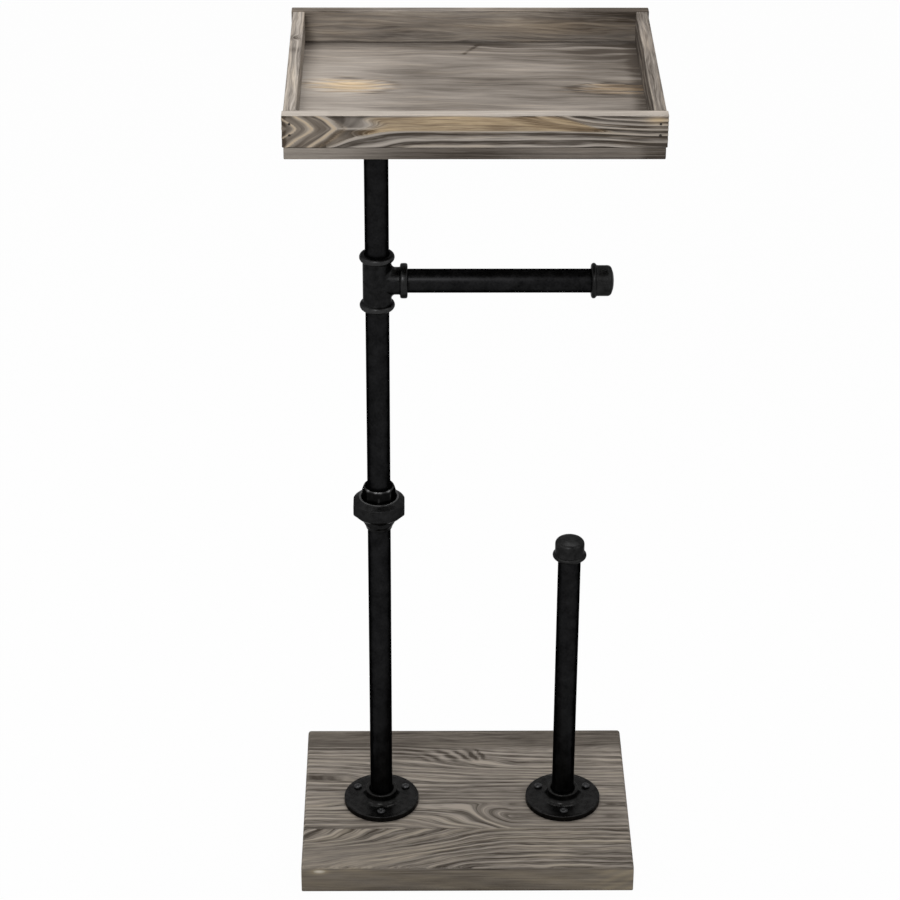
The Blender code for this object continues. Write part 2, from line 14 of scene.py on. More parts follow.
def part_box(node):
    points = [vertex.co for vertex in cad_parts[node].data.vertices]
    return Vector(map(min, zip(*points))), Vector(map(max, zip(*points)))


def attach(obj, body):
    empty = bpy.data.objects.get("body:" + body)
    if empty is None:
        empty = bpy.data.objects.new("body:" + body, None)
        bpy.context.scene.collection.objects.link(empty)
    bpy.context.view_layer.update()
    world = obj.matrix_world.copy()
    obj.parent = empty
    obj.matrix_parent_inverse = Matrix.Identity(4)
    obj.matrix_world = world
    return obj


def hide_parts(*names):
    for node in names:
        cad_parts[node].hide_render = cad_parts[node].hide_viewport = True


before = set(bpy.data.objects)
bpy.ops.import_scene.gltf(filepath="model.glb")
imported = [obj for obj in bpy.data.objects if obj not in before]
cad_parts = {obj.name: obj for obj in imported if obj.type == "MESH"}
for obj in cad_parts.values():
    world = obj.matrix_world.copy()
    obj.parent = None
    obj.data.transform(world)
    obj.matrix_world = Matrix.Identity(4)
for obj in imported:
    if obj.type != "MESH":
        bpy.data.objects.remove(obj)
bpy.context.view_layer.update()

# Camera
# A long lens in front of the stand, looking down on it by thirty degrees, as the photograph does.
# Its place and turn come from lining up the edges of the boards and the pipes.
camera_data = bpy.data.cameras.new("camera")
camera_data.sensor_width = 36
camera_data.lens = 115.716
camera_data.clip_end = 30
camera_place = (-0.04872, -2.29906, 1.73222)
camera_down, camera_right, camera_roll = 29.71, 0.78, 0.31
camera = bpy.data.objects.new("camera", camera_data)
camera.matrix_world = (
    Matrix.Translation(camera_place)
    @ Matrix.Rotation(math.radians(-camera_right), 4, "Z")
    @ Matrix.Rotation(math.radians(90 - camera_down), 4, "X")
    @ Matrix.Rotation(math.radians(camera_roll), 4, "Z")
)
bpy.context.scene.collection.objects.link(camera)
bpy.context.scene.camera = camera


# Base board
# A thick pine panel glued up from two planks, its top edges well rounded. It is wire-brushed, so
# the soft wood between the growth lines is worn away, and stained a weathered grey-brown.


class Flow:
    """A socket of a material's nodes. Arithmetic on it adds the Math nodes that work it out."""

    def __init__(self, tree, socket=None):
        self.tree = tree
        self.socket = socket

    def node(self, kind, settings=None, values=None, out=0):
        """Adds a node, sets it up, gives its sockets numbers or links, and returns an output."""
        made = self.tree.nodes.new(kind)
        for name, setting in (settings or {}).items():
            if name == "stops":
                while len(made.color_ramp.elements) < len(setting):
                    made.color_ramp.elements.new(1)
                for stop, (place, level) in zip(made.color_ramp.elements, setting):
                    stop.position = place
                    stop.color = (level, level, level, 1)
            else:
                setattr(made, name, setting)
        for name, value in (values or {}).items():
            if isinstance(value, Flow):
                self.tree.links.new(value.socket, made.inputs[name])
            else:
                made.inputs[name].default_value = value
        return Flow(self.tree, made.outputs[out])

    def maths(self, operation, *terms, clamp=False):
        settings = {"operation": operation, "use_clamp": clamp}
        return self.node("ShaderNodeMath", settings, dict(enumerate(terms)))

    def __add__(self, other):
        return self.maths("ADD", self, other)

    def __radd__(self, other):
        return self.maths("ADD", other, self)

    def __sub__(self, other):
        return self.maths("SUBTRACT", self, other)

    def __rsub__(self, other):
        return self.maths("SUBTRACT", other, self)

    def __mul__(self, other):
        return self.maths("MULTIPLY", self, other)

    def __rmul__(self, other):
        return self.maths("MULTIPLY", other, self)

    def attribute(self, name, out="Fac"):
        return self.node("ShaderNodeAttribute", {"attribute_name": name}, out=out)

    def noise(self, place, stretch, detail=2.0, roughness=0.5):
        """Cloudy noise from -0.5 to 0.5 on a place stretched by three factors."""
        stretched = self.node(
            "ShaderNodeVectorMath", {"operation": "MULTIPLY"}, {0: place, 1: stretch}
        )
        values = {"Vector": stretched, "Scale": 1.0, "Detail": detail, "Roughness": roughness}
        return self.node("ShaderNodeTexNoise", None, values) - 0.5

    def blend(self, share, first, second):
        """A colour that goes from the first to the second as the share goes from 0 to 1."""
        settings = {"data_type": "RGBA", "clamp_factor": True}
        return self.node("ShaderNodeMix", settings, {0: share, 6: first, 7: second}, out=2)

    def bump(self, height, distance, strength):
        values = {"Height": height, "Distance": distance, "Strength": strength}
        return self.node("ShaderNodeBump", None, values)


def new_finish(name, fixed):
    """A material, the sockets of its shader, some at a fixed value, and a Flow for its nodes."""
    material = bpy.data.materials.new(name)
    material.use_nodes = True
    shader = material.node_tree.nodes["Principled BSDF"].inputs
    for socket, value in fixed.items():
        shader[socket].default_value = value
    return material, shader, Flow(material.node_tree)


def join(flow, socket):
    flow.tree.links.new(flow.socket, socket)


def pine(name, groove, ridge, tan_groove, tan_ridge):
    """Brushed and stained pine, coloured from its dark grooves to its pale ridges, and from a
    second pair of colours where it is tan. Each board carries its grain: a place along it, across
    its growth lines and through it, the count of lines, how boldly they show, how busy the
    streaks are, how tan the wood is, and how light it is, which in places also carries painted
    shade. Past a tan of 1 the bare wood shows.

    A line is a dark worn band with a narrower pale ridge behind it. Streaks a few centimetres
    long, finer grit and fibres, all drawn out along the lines, break up their edge and colour.
    """
    bare_wood = (0.78, 0.72, 0.63, 1)
    dark_band = ((0.0, 0.12), (0.2, 0.1), (0.5, 0.32))
    pale_ridge = ((0.66, 0.72), (0.78, 1.0), (0.88, 0.85), (0.99, 0.15))
    material, shader, start = new_finish(name, {"Specular IOR Level": 0.2})
    place = start.attribute("grain", "Vector")
    patch = start.noise(place, (7, 26, 26), 3)
    streak = start.noise(place, (13, 290, 290), 3, 0.6)
    grit = start.noise(place, (36, 900, 900), 2, 0.6)
    fibre = start.noise(place, (90, 2600, 2600), 2, 0.6)
    count = start.attribute("ring") + patch * 0.6 + streak * 0.35 + grit * 0.2
    ring = start.maths("FLOOR", count)
    luck = start.node("ShaderNodeTexWhiteNoise", {"noise_dimensions": "1D"}, {"W": ring})
    phase = start.maths("FRACT", count)
    line = start.node("ShaderNodeValToRGB", {"stops": dark_band + pale_ridge}, {"Fac": phase})
    bold = start.attribute("bold") * (luck * 1.2 + 0.4)
    streaks = (patch * 0.7 + streak * 1.25 + grit * 1.2 + fibre * 0.6) * start.attribute("busy")
    tone = (line - 0.45) * bold + 0.5 + streaks
    tone = start.maths("ADD", tone, start.attribute("light"), clamp=True)
    tan = start.attribute("tan") + (patch * 0.6 + streak * 1.1) * start.attribute("busy")
    plain = start.blend(tone, (*groove, 1), (*ridge, 1))
    golden = start.blend(tone, (*tan_groove, 1), (*tan_ridge, 1))
    stained = start.blend(tan, plain, golden)
    bare = start.maths("SUBTRACT", start.attribute("tan"), 1.0, clamp=True)
    join(start.blend(bare, stained, bare_wood), shader["Base Color"])
    join(0.86 - tone * 0.14, shader["Roughness"])
    join(start.bump(line * bold * 0.5 + streak + grit + fibre * 0.6, 0.0005, 0.8), shader["Normal"])
    return material


def merged(points, quads, count_from=0):
    """The points and faces of a closed surface, from grid points and the quads between them.
    Points that share a place become one, a quad with two such corners becomes a triangle, and the
    faces are turned to look outwards, by the sign of the volume that they close in. The faces
    count the points from the given number."""
    _, first, which = np.unique(
        np.round(points * 1e7).astype(np.int64), axis=0, return_index=True, return_inverse=True
    )
    points = points[first]
    quads = which.reshape(-1)[quads]
    a, b, c, d = (points[quads[:, corner]] for corner in range(4))
    volume = np.einsum("ij,ij->", a, np.cross(b, c)) + np.einsum("ij,ij->", a, np.cross(c, d))
    if volume < 0:
        quads = quads[:, ::-1]
    repeats = quads == np.roll(quads, -1, axis=1)
    whole = quads[~repeats.any(axis=1)]
    pinched = repeats.sum(axis=1) == 1
    kept = (repeats[pinched].argmax(axis=1)[:, None] + np.arange(1, 4)) % 4
    triangles = np.take_along_axis(quads[pinched], kept, axis=1)
    return points, (whole + count_from).tolist() + (triangles + count_from).tolist()


def dressed(stands_for, kind, points, faces, material, body, slot):
    """Makes a finished piece, puts it in place of the solid it stands for, and returns its mesh."""
    mesh = bpy.data.meshes.new(f"{stands_for}_{kind}")
    mesh.from_pydata(points, [], faces)
    mesh.shade_smooth()
    mesh.materials.append(material)
    piece = bpy.data.objects.new(mesh.name, mesh)
    bpy.context.scene.collection.objects.link(piece)
    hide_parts(stands_for)
    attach(piece, body)
    return mesh


def smooth(low, high, value):
    """A soft step from 0 below low to 1 above high."""
    share = np.clip((value - low) / (high - low), 0, 1)
    return share * share * (3 - 2 * share)


def near(value, middle, width):
    """A rounded bump, 1 where the value is at the middle."""
    return np.exp(-(((value - middle) / width) ** 2))


def patches(along, across, *marks):
    """The sum of rounded hills, each given by its height, place, half-length and half-width."""
    return sum(
        height * near(along, along_at, length) * near(across, across_at, width)
        for height, along_at, across_at, length, width in marks
    )


def ripple(along, across, start):
    """Slow waves in the grain: sines that run mostly along it, each finer and lower than the last."""
    first = np.sin(along / 31 + across / 19 + start)
    second = np.sin(along / 17 - across / 11 + 2.3 * start)
    third = np.sin(along / 9 + across / 7 + 4.1 * start)
    return 0.5 * first + 0.3 * second + 0.2 * third


def sharpened(count, power):
    """The same count with each line's pale ridge squeezed towards its far edge."""
    whole = np.floor(count)
    return whole + (count - whole) ** power


def grid_lines(low, high, ease, pitch, extra=()):
    """Where a board's grid lines cross one axis: evenly, closer in its eased edges, and extra."""
    edge = ease * np.array([0, 0.22, 0.42, 0.6, 0.8, 1.0])
    count = max(2, int(round((high - low - 2 * ease) / pitch)) + 1)
    between = np.linspace(low + ease, high - ease, count)
    lines = np.concatenate([low + edge, between, high - edge, extra])
    lines = lines[(lines > low - 1e-7) & (lines < high + 1e-7)]
    return np.unique(np.round(lines, 5))


def cells(grid):
    """The quads between neighbours in a grid of point numbers."""
    return np.stack([grid[:-1, :-1], grid[1:, :-1], grid[1:, 1:], grid[:-1, 1:]], axis=-1).reshape(-1, 4)


def board(name, body, finish, ease, pitches, figure, extra=((), (), ()), dimples=()):
    """A board as a gridded box in place of its solid. Each point is drawn back to a box smaller by
    the ease, of its edges and of its top edges, and pushed out again by it, which rounds every
    edge. The figure then says what the grain does there, and the soft wood sinks by the relief. A
    dimple, given by its centre, axis, radius and depth, is a straight little pit.

    The streaks lie between the growth lines, so their place across the grain is the count of
    lines times a usual distance from one line to the next."""
    relief = 0.00022
    line_pitch = 7.0
    low, high = (np.array(corner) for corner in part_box(name))
    lines = [grid_lines(low[k], high[k], max(ease), pitches[k], extra[k]) for k in range(3)]
    points, quads, count = [], [], 0
    for axis in range(3):
        second, third = (axis + 1) % 3, (axis + 2) % 3
        across, along = np.meshgrid(lines[second], lines[third], indexing="ij")
        face_cells = cells(np.arange(across.size).reshape(across.shape))
        for end, turn in ((low, -1), (high, 1)):
            face = np.empty(across.shape + (3,))
            face[..., axis], face[..., second], face[..., third] = end[axis], across, along
            points.append(face.reshape(-1, 3))
            quads.append(face_cells[:, ::turn] + count)
            count += across.size
    flat, faces = merged(np.concatenate(points), np.concatenate(quads))
    edge, top_edge = ease
    near_top = smooth(high[2] - 0.008, high[2] - 0.004, flat[:, 2:])
    round_by = edge + (top_edge - edge) * near_top
    core = np.clip(flat, low + round_by, high - round_by)
    outward = flat - core
    outward /= np.linalg.norm(outward, axis=1, keepdims=True)
    shape = core + round_by * outward
    grain = figure(shape * 1000)
    phase = np.mod(grain["ring"], 1)
    worn = 1 - smooth(0.1, 0.7, phase) * (1 - smooth(0.85, 1, phase))
    shape = shape - outward * (relief * worn * np.clip(grain["bold"], 0, 1.5))[:, None]
    for centre, axis, radius, depth in dimples:
        off = shape - np.array(centre)
        facing = np.sign(outward[:, axis]) * (np.abs(outward[:, axis]) > 0.9)
        off_axis = np.linalg.norm(np.delete(off, axis, axis=1), axis=1)
        shape[:, axis] -= (off_axis < radius) * (np.abs(off[:, axis]) < 0.002) * facing * depth
    mesh = dressed(name, "brushed", shape, faces, finish, body, "weathered_pine")
    for title in ("ring", "bold", "busy", "tan", "light"):
        values = np.broadcast_to(grain[title], (len(shape),)).astype(np.float32)
        mesh.attributes.new(title, "FLOAT", "POINT").data.foreach_set("value", values)
    across = line_pitch * grain["ring"] + grain["side"]
    vectors = np.stack([grain["along"], across, grain["through"]], axis=1) / 1000
    target = mesh.attributes.new("grain", "FLOAT_VECTOR", "POINT").data
    target.foreach_set("vector", vectors.astype(np.float32).ravel())


# The height of the board's top, and where its two planks are glued together, in millimetres
BOARD_TOP, BOARD_JOINT = 29.0, -52.0


def hill(along, across, length, width, top):
    """A cone of nested ovals, one growth line apart, with the given count at its top."""
    return top - np.sqrt((along / length) ** 2 + (across / width) ** 2 + 0.1)


def soft_maximum(first, second):
    """The larger of two counts, with the crease between them rounded off."""
    return np.logaddexp(3 * first, 3 * second) / 3


def base_figure(place):
    """The base board's growth lines, counted in millimetres from its middle.

    The front plank is cut close to the heart, so its lines run out from the joint in slanted
    strokes that open to the left. The back plank's lines run along it and dip to the right; they
    part round a knot near its front edge and bunch into a small feather near its back.
    """
    x, y, z = place.T
    down = BOARD_TOP - z
    off = np.abs(y - BOARD_JOINT)
    is_front = y < BOARD_JOINT
    # Front plank: lines that leave the joint, level out away from it and widen to the left
    run_out = -np.logaddexp(0, (27 - x) / 9) * 9 / 29.3
    spread = 7.4 + 26 * np.clip((8 - x) / 150, 0, 1) ** 1.3 * np.exp(-off / 40)
    levelling = 1 - 0.6 * smooth(14, 46, off)
    strokes_here = np.exp(-off / 22) * smooth(40, 10, x)
    front = run_out * levelling - 0.1 + off / spread + 0.14 * ripple(2 * x, 2 * y, 0.4)
    front = sharpened(front, 1 + 0.7 * strokes_here)
    # Back plank: uneven lines, with a dip, a fall towards the joint and the knot's ovals
    uneven = y + 1.8 * np.sin(y / 6.1 + x / 90) + 1.2 * np.sin(y / 3.7 + 1)
    dip = 14 * np.tanh((x + 40) / 80) * near(y, 52, 26)
    fall = 21 * smooth(-78, 24, x) * near(y, -46, 17)
    back = (uneven + dip + fall) / 7.2 + 0.2 * ripple(x, y, 1.7)
    knot_x = np.minimum(x - 44, 0.05 * (x - 44))
    knot_y = y + 33 + 0.33 * np.minimum(x - 44, 0)
    back = soft_maximum(back, hill(knot_x, knot_y, 12.0, 6.2, 0.9))
    # Feather: slanted strokes across the lines, counted by where each one stands on a base line
    slant = np.interp(x, (-45, 18), (0.45, 1.7))
    stroke_foot = x + (y - 68) / slant + 2.2 * ripple(5 * x, 5 * y, 2.2)
    stroke = np.interp(stroke_foot, (-62, -44, -26, -8.5, 3.5, 12.5, 20), range(7))
    feather = smooth(54, 65, y) * smooth(82, 71, y) * smooth(-58, -24, x) * smooth(27, 13, x)
    barbs = feather * (0.5 * np.cos(2 * math.pi * stroke) - 0.08 - 0.25 * smooth(-10, 6, x))
    # Tones: a darker strip at the back, the glue line, and a pale corner at the front left
    dark_strip = smooth(72, 88, y)
    glue_line = near(y, BOARD_JOINT, 0.8) * smooth(30, 0, x)
    worn_corner = patches(x, y, (1, -128, -100, 62, 22))
    knot_and_pale = patches(x, y, (-0.14, 44, -33, 18, 11), (0.16, -140, 42, 26, 12))
    # Edges: quieter wood, rubbed bare in two spots and at the right end of the front edge
    on_edge = smooth(1.5, 5, down)
    rubbed = patches(x, down, (1, -141, 5, 7, 2.6), (0.35, -110, 3, 14, 2))
    rubbed += 0.3 * smooth(112, 140, x) * on_edge * (0.6 + 0.4 * np.sin((down + 0.5 * x) / 1.6))
    rubbed *= smooth(-104, -109, y)
    edge_tone = -0.1 + 0.12 * smooth(60, 150, x) + 0.1 * ripple(1.2 * x, 4 * z, 2.2)
    worn_low = smooth(20, 34, off) * smooth(0, -70, x)
    bold = np.where(is_front, 0.62 + 0.4 * strokes_here - 0.4 * worn_low, 0.72)
    bold = bold * (1 - 0.85 * dark_strip) * (1 - 0.8 * worn_corner) * (1 - 0.9 * feather)
    busy = 1.1 - 0.6 * dark_strip - 0.3 * worn_corner + 0.2 * strokes_here * is_front
    light = 0.1 - 0.13 * is_front - 0.42 * dark_strip - 0.3 * glue_line + barbs + 0.06 * worn_corner
    light = light + knot_and_pale + edge_tone * on_edge
    return {
        "along": x + np.where(is_front, 400, 0),
        "side": 0.0,
        "through": z,
        "ring": np.where(down > 2.4, z / 5, np.where(is_front, front, back + 40)),
        "bold": bold * (1 - 0.95 * on_edge),
        "busy": busy * (1 - 0.6 * on_edge),
        "tan": (0.3 + 0.2 * ripple(1.6 * x, 5 * z, 0.3)) * on_edge + 0.06 * is_front + 1.6 * rubbed,
        "light": light - 0.2 * smooth(25, 29, down) + 0.4 * rubbed,
    }


board_pine = pine(
    "weathered_pine_base",
    groove=(0.052, 0.042, 0.033),
    ridge=(0.34, 0.3, 0.258),
    tan_groove=(0.08, 0.06, 0.04),
    tan_ridge=(0.45, 0.38, 0.27),
)
feather_lines = np.arange(-0.03, 0.02, 0.002) + 0.001
glue_lines = BOARD_JOINT / 1000 + np.arange(-2, 3) * 0.0004
board(
    "base_board",
    "base",
    board_pine,
    ease=(0.0012, 0.003),
    pitches=(0.002, 0.00125, 0.0016),
    figure=base_figure,
    extra=(feather_lines, glue_lines, ()),
)


# Floor flanges
# Round malleable-iron castings with an upright threaded hub. One holds the post on the base, one
# the spindle, and one, upside down, the tray. They are coated satin black over the cast skin.


def black_coat(name, colour, rim, skin, rough, bump_distance):
    """Satin black paint. The skin is how many lumps it has to a metre; broad clouds change its
    sheen, and the lumps show as bump. The rim is how far it still mirrors where it curves out of
    sight. An edge that is rubbed, by the worn attribute, shows grey iron; in places the worn
    attribute also brightens a crest or corner as painted highlight."""
    grey_iron = (0.2, 0.2, 0.2, 1)
    fixed = {"Metallic": 0.92, "Specular Tint": (rim, rim, rim, 1), "Specular IOR Level": 0.0}
    material, shader, start = new_finish(name, fixed)
    place = start.node("ShaderNodeTexCoord", out="Object")
    lumps = start.noise(place, (skin, skin, skin), 3, 0.6)
    clouds = start.noise(place, (skin / 5, skin / 5, skin / 5), 3)
    dark = tuple(0.2 * part for part in colour)
    pale = tuple(1.8 * part for part in colour)
    coat = start.blend(clouds + lumps * 0.8 + 0.5, (*dark, 1), (*pale, 1))
    worn = start.attribute("worn") * (lumps * 1.6 + 0.9)
    join(start.blend(worn, coat, grey_iron), shader["Base Color"])
    join(rough + lumps * 0.2 + clouds * 0.3, shader["Roughness"])
    join(start.bump(lumps + clouds * 1.5, bump_distance, 0.6), shader["Normal"])
    return material


def rounded_outline(corners, steps=6):
    """Profile points from corners of (radius, height, rounding). Each rounding becomes an arc that
    touches both of its edges, and is held to half of the shorter one. Points are worked out as
    complex numbers, radius + height i, since a product of two of those adds their angles."""
    outline = []
    spots = np.array([complex(radius, height) for radius, height, _ in corners])
    for here, before, after, corner in zip(spots, np.roll(spots, 1), np.roll(spots, -1), corners):
        shorter = min(abs(before - here), abs(after - here))
        back, ahead = (before - here) / abs(before - here), (after - here) / abs(after - here)
        half = math.acos(np.clip((back * ahead.conjugate()).real, -1, 1)) / 2
        if not corner[2] or math.pi / 2 - half < 0.02:
            outline.append([here])
            continue
        reach = min(corner[2] / math.tan(half), shorter * 0.499)
        centre = here + (back + ahead) / abs(back + ahead) * reach / math.cos(half)
        first, last = here + back * reach - centre, here + ahead * reach - centre
        turn = np.linspace(0, np.angle(last / first), steps + 1)
        outline.append(centre + first * np.exp(1j * turn))
    outline = np.concatenate(outline)
    return np.stack([outline.real, outline.imag], axis=1)


def turned(outline, steps=96, flats=None, first_flat=0.0, closed=True):
    """Rings of points from a profile of (radius, height) carried round Z, and their quads.

    With flats, half an octagon's width for each profile point, a ring is held to that octagon:
    its reach is a soft minimum of the radius and the distance to the octagon's side.
    """
    turn = 2 * math.pi * np.arange(steps) / steps
    radius = np.broadcast_to(outline[:, :1], (len(outline), steps)).copy()
    if flats is not None:
        side = math.pi / 4
        off = np.mod(turn - first_flat + side / 2, side) - side / 2
        limit = np.asarray(flats)[:, None] / np.cos(off)[None]
        sharp = 90
        ratio = np.minimum(radius, limit)
        radius = ratio * ((ratio / radius) ** sharp + (ratio / limit) ** sharp) ** (-1 / sharp)
    height = np.broadcast_to(outline[:, 1:], radius.shape)
    points = np.stack([radius * np.cos(turn), radius * np.sin(turn), height], axis=-1)
    return points.reshape(-1, 3), ring_quads(len(outline), steps, closed)


def ring_quads(rings, steps, closed):
    """Quads between rings of points, round each ring, and back to the first ring if closed."""
    index = np.arange(rings * steps).reshape(rings, steps)
    if closed:
        index = np.concatenate([index, index[:1]])
    ahead = np.roll(index, -1, axis=1)
    return np.stack([index[:-1], ahead[:-1], ahead[1:], index[1:]], axis=-1).reshape(-1, 4)


def placed(points, place, axis="Z"):
    """Points moved to a place, after Z is turned to the given axis."""
    turns = {"Z": np.eye(3), "-Z": np.diag([1.0, -1.0, -1.0])}
    turns["X"] = np.array([[0, 0, 1.0], [0, 1.0, 0], [-1.0, 0, 0]])
    return points @ turns[axis].T + np.array(place)


# Where the post and the spindle stand, the air between two pieces that touch, and the radius that
# every fitting's mouth has
POST = (-0.0827, -0.0062)
SPINDLE = (0.0945, -0.0062)
BASE_TOP = BOARD_TOP / 1000
GAP = 0.0003
SOCKET = 0.01095
PLATE, PLATE_RADIUS, FLANGE_HEIGHT = 0.0055, 0.0363, 0.0155
# The screws' distance from the hub's middle, and where they stand round it in degrees
SCREW_REACH = 0.027
SCREW_TURNS = (-90, 30, 150)

flange_black = black_coat(
    "flange_black", (0.0138, 0.0135, 0.0133), 0.62, skin=900, rough=0.29, bump_distance=0.00006
)


def flange_points():
    """A flange's rings: a plate with a rolled rim and a shallow dish, a soft fillet, a hub with a
    rounded lip. Round each screw the dish rises again to a flat pad."""
    outline = rounded_outline(
        [
            (SOCKET, 0, 0), (PLATE_RADIUS, 0, 0.0006), (PLATE_RADIUS, PLATE, 0.0008),
            (0.0345, PLATE, 0.001), (0.0332, PLATE - 0.0003, 0.001), (0.0156, PLATE - 0.0003, 0.0055),
            (0.0152, FLANGE_HEIGHT, 0.0014), (0.0124, FLANGE_HEIGHT, 0.0006), (SOCKET, 0.0146, 0),
        ],
        steps=8,
    )
    # A point halfway along each line lets the dish bend up round the screws
    count = np.arange(len(outline))
    halves = np.arange(0, len(outline), 0.5)
    outline = np.stack([np.interp(halves, count, side) for side in outline.T], axis=1)
    points, quads = turned(outline, steps=144)
    for turn in np.radians(SCREW_TURNS):
        screw = SCREW_REACH * np.array([np.cos(turn), np.sin(turn)])
        off = np.linalg.norm(points[:, :2] - screw, axis=1)
        on_dish = (points[:, 2] > PLATE - 0.0007) & (points[:, 2] < PLATE)
        points[:, 2] += on_dish * (PLATE - points[:, 2]) * (1 - smooth(0.0048, 0.0062, off))
    return points, quads


flange_rings, flange_quads = flange_points()
tray_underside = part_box("tray_floor")[0].z
flange_seats = (
    ("post_flange", (*POST, BASE_TOP + GAP), "Z", "base"),
    ("spindle_flange", (*SPINDLE, BASE_TOP + GAP), "Z", "base"),
    ("tray_flange", (*POST, tray_underside - GAP), "-Z", "upper_stand"),
)
for name, seat, axis, body in flange_seats:
    surface = merged(placed(flange_rings, seat, axis), flange_quads)
    dressed(name, "cast", *surface, flange_black, body, "black_fitting")


# Wood screws
# Three pan-head steel screws hold each flange to its board. They are blackened, with a cross
# recess, and a little more worn and shiny than the castings they sit on.


def screw_points(length):
    """A screw. Its head is a square grid bent to a disc and raised to a dome, sunk where the cross
    is; the grid's rim then runs down as rings to the shank and to a point. The grid's lines are
    drawn together at the edges of the cross, so that its walls are steep."""
    head, head_height, shank, point = 0.0039, 0.0023, 0.002, 0.004
    arm, half_width, recess = 0.0023, 0.0005, 0.0013
    half_line = np.array([0, 0.45, 1, 1.18, 2.0, 3.0, 4.0, 4.6, 4.78, 5.6, 6.6, 7.3, 7.8]) / 7.8
    line = np.concatenate([-half_line[:0:-1], half_line])
    u, v = np.meshgrid(line, line, indexing="ij")
    x, y = u * np.sqrt(1 - v * v / 2) * head, v * np.sqrt(1 - u * u / 2) * head
    share = np.hypot(x, y) / head
    dome = head_height * (0.42 + 0.58 * np.sqrt(np.clip(1 - share**2.6, 0, 1)))
    reach, width = arm * 1.01 / head, half_width * 1.02 / head
    in_cross = (np.abs(u) <= reach) & (np.abs(v) <= width)
    in_cross |= (np.abs(v) <= reach) & (np.abs(u) <= width)
    top = np.stack([x, y, np.where(in_cross, head_height - recess, dome)], axis=-1)
    size = len(line)
    index = np.arange(size * size).reshape(size, size)
    rim = np.concatenate([index[:-1, 0], index[-1, :-1], index[:0:-1, -1], index[0, :0:-1]])
    edge = top.reshape(-1, 3)[rim]
    radii = np.array([1, 0.97, shank / head, shank / head, 0.0])
    heights = np.array([0.0003, 0, 0, point - length, -length])
    rings = edge[None] * np.array([1, 1, 0]) * radii[:, None, None]
    rings[..., 2] = heights[:, None]
    rings = np.concatenate([edge[None], rings]).reshape(-1, 3)
    quads = ring_quads(len(radii) + 1, len(edge), closed=False)[:, ::-1] + size * size
    return np.concatenate([top.reshape(-1, 3), rings]), np.concatenate([cells(index), quads])


screw_black = black_coat(
    "screw_black", (0.035, 0.035, 0.036), 0.7, skin=1800, rough=0.36, bump_distance=0.00004
)
base_screw_length, tray_screw_length = 0.022, 0.0125
for flange, seat, axis, body in flange_seats:
    length = tray_screw_length if flange == "tray_flange" else base_screw_length
    upright = -1 if axis == "-Z" else 1
    for number, turn in enumerate(np.radians(SCREW_TURNS) * upright, start=1):
        points, quads = screw_points(length)
        driven_to = 0.5 + 1.7 * number
        points = points @ np.array(Matrix.Rotation(driven_to, 3, "Z"))
        way = np.array([SCREW_REACH * np.cos(turn), SCREW_REACH * np.sin(turn), upright * (PLATE + GAP)])
        surface = merged(placed(points, way + seat, axis), quads)
        dressed(f"{flange}_screw_{number}", "black", *surface, screw_black, body, "black_screw")


# Pipes
# Half-inch steel pipe, cut to length, with the cut edges taken off. Three lengths make the post,
# one the arm and one the spindle. Their coat is smoother than that of the castings.
pipe_black = black_coat(
    "pipe_black", (0.0105, 0.0105, 0.0109), 0.25, skin=500, rough=0.38, bump_distance=0.00002
)
PIPE_BORE = 0.00785


def lathe_piece(name, kind, outline, place, material, body, slot, axis="Z", **options):
    """A finished piece turned from a profile, with its foot at the given place."""
    points, quads = turned(outline, **options)
    surface = merged(placed(points, place, axis), quads)
    return dressed(name, kind, *surface, material, body, slot)


def pipe_piece(name, body, axis="Z"):
    """A tube as long as its solid, its outer edge rounded at both ends."""
    low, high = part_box(name)
    outer = (high.y - low.y) / 2
    middle = (low + high) / 2
    run = 2 if axis == "Z" else 0
    length = high[run] - low[run]
    foot = list(middle)
    foot[run] = low[run]
    corners = [(PIPE_BORE, 0, 0.0004), (outer, 0, 0.0008)]
    corners += [(outer, length, 0.0008), (PIPE_BORE, length, 0.0004)]
    outline = rounded_outline(corners, steps=4)
    lathe_piece(name, "coated", outline, foot, pipe_black, body, "black_pipe", axis, steps=128)


for name, body in (
    ("lower_pipe", "base"),
    ("middle_pipe", "upper_stand"),
    ("upper_pipe", "upper_stand"),
    ("spindle_pipe", "spindle"),
):
    pipe_piece(name, body)
pipe_piece("arm_pipe", "arm", axis="X")


# Union
# A joint of three iron pieces in the post: a lower end with an outside thread, an upper end with
# a shoulder, and an eight-sided nut that draws them together on a brass ring. The nut hides the
# thread, and the upper end's wrench flats stand out above it, dark with painted shade, their
# corners rubbed bright and partly painted as highlight.
cast_black = black_coat(
    "cast_black", (0.012, 0.012, 0.0122), 0.5, skin=1100, rough=0.33, bump_distance=0.00006
)
# Heights in the profiles are counted from the lower end's foot, and the nut's from its own
UNION_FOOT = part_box("union_lower_end")[0].z
UNION_LOWER_FLAT, UNION_UPPER_FLAT, NUT_FLAT = 0.0139, 0.0144, 0.0236
UNION_HEIGHT, NUT_RISE, NUT_HEIGHT = 0.0445, 0.0146, 0.0187
EIGHTH_CORNER = 1 / math.cos(math.pi / 8)


def wear_and_sheen(mesh, share):
    """Sets how far the coat is rubbed off at each point of a mesh, or brightened as painted highlight."""
    share = np.clip(share, 0, 1).astype(np.float32)
    mesh.attributes.new("worn", "FLOAT", "POINT").data.foreach_set("value", share)


def around(mesh, foot):
    """Each point's turn in degrees, distance and height about an upright axis over a foot."""
    spots = np.empty(3 * len(mesh.vertices), np.float32)
    mesh.vertices.foreach_get("co", spots)
    off = spots.reshape(-1, 3).astype(float) - np.array(foot)
    return np.degrees(np.arctan2(off[:, 1], off[:, 0])), np.hypot(off[:, 0], off[:, 1]), off[:, 2]


def flats_for(outline, flat, low, high):
    """The octagon's half-width for the profile points between two heights, and far out elsewhere."""
    inside = (outline[:, 1] >= low) & (outline[:, 1] <= high) & (outline[:, 0] > flat * 0.9)
    return np.where(inside, flat, 1.0)


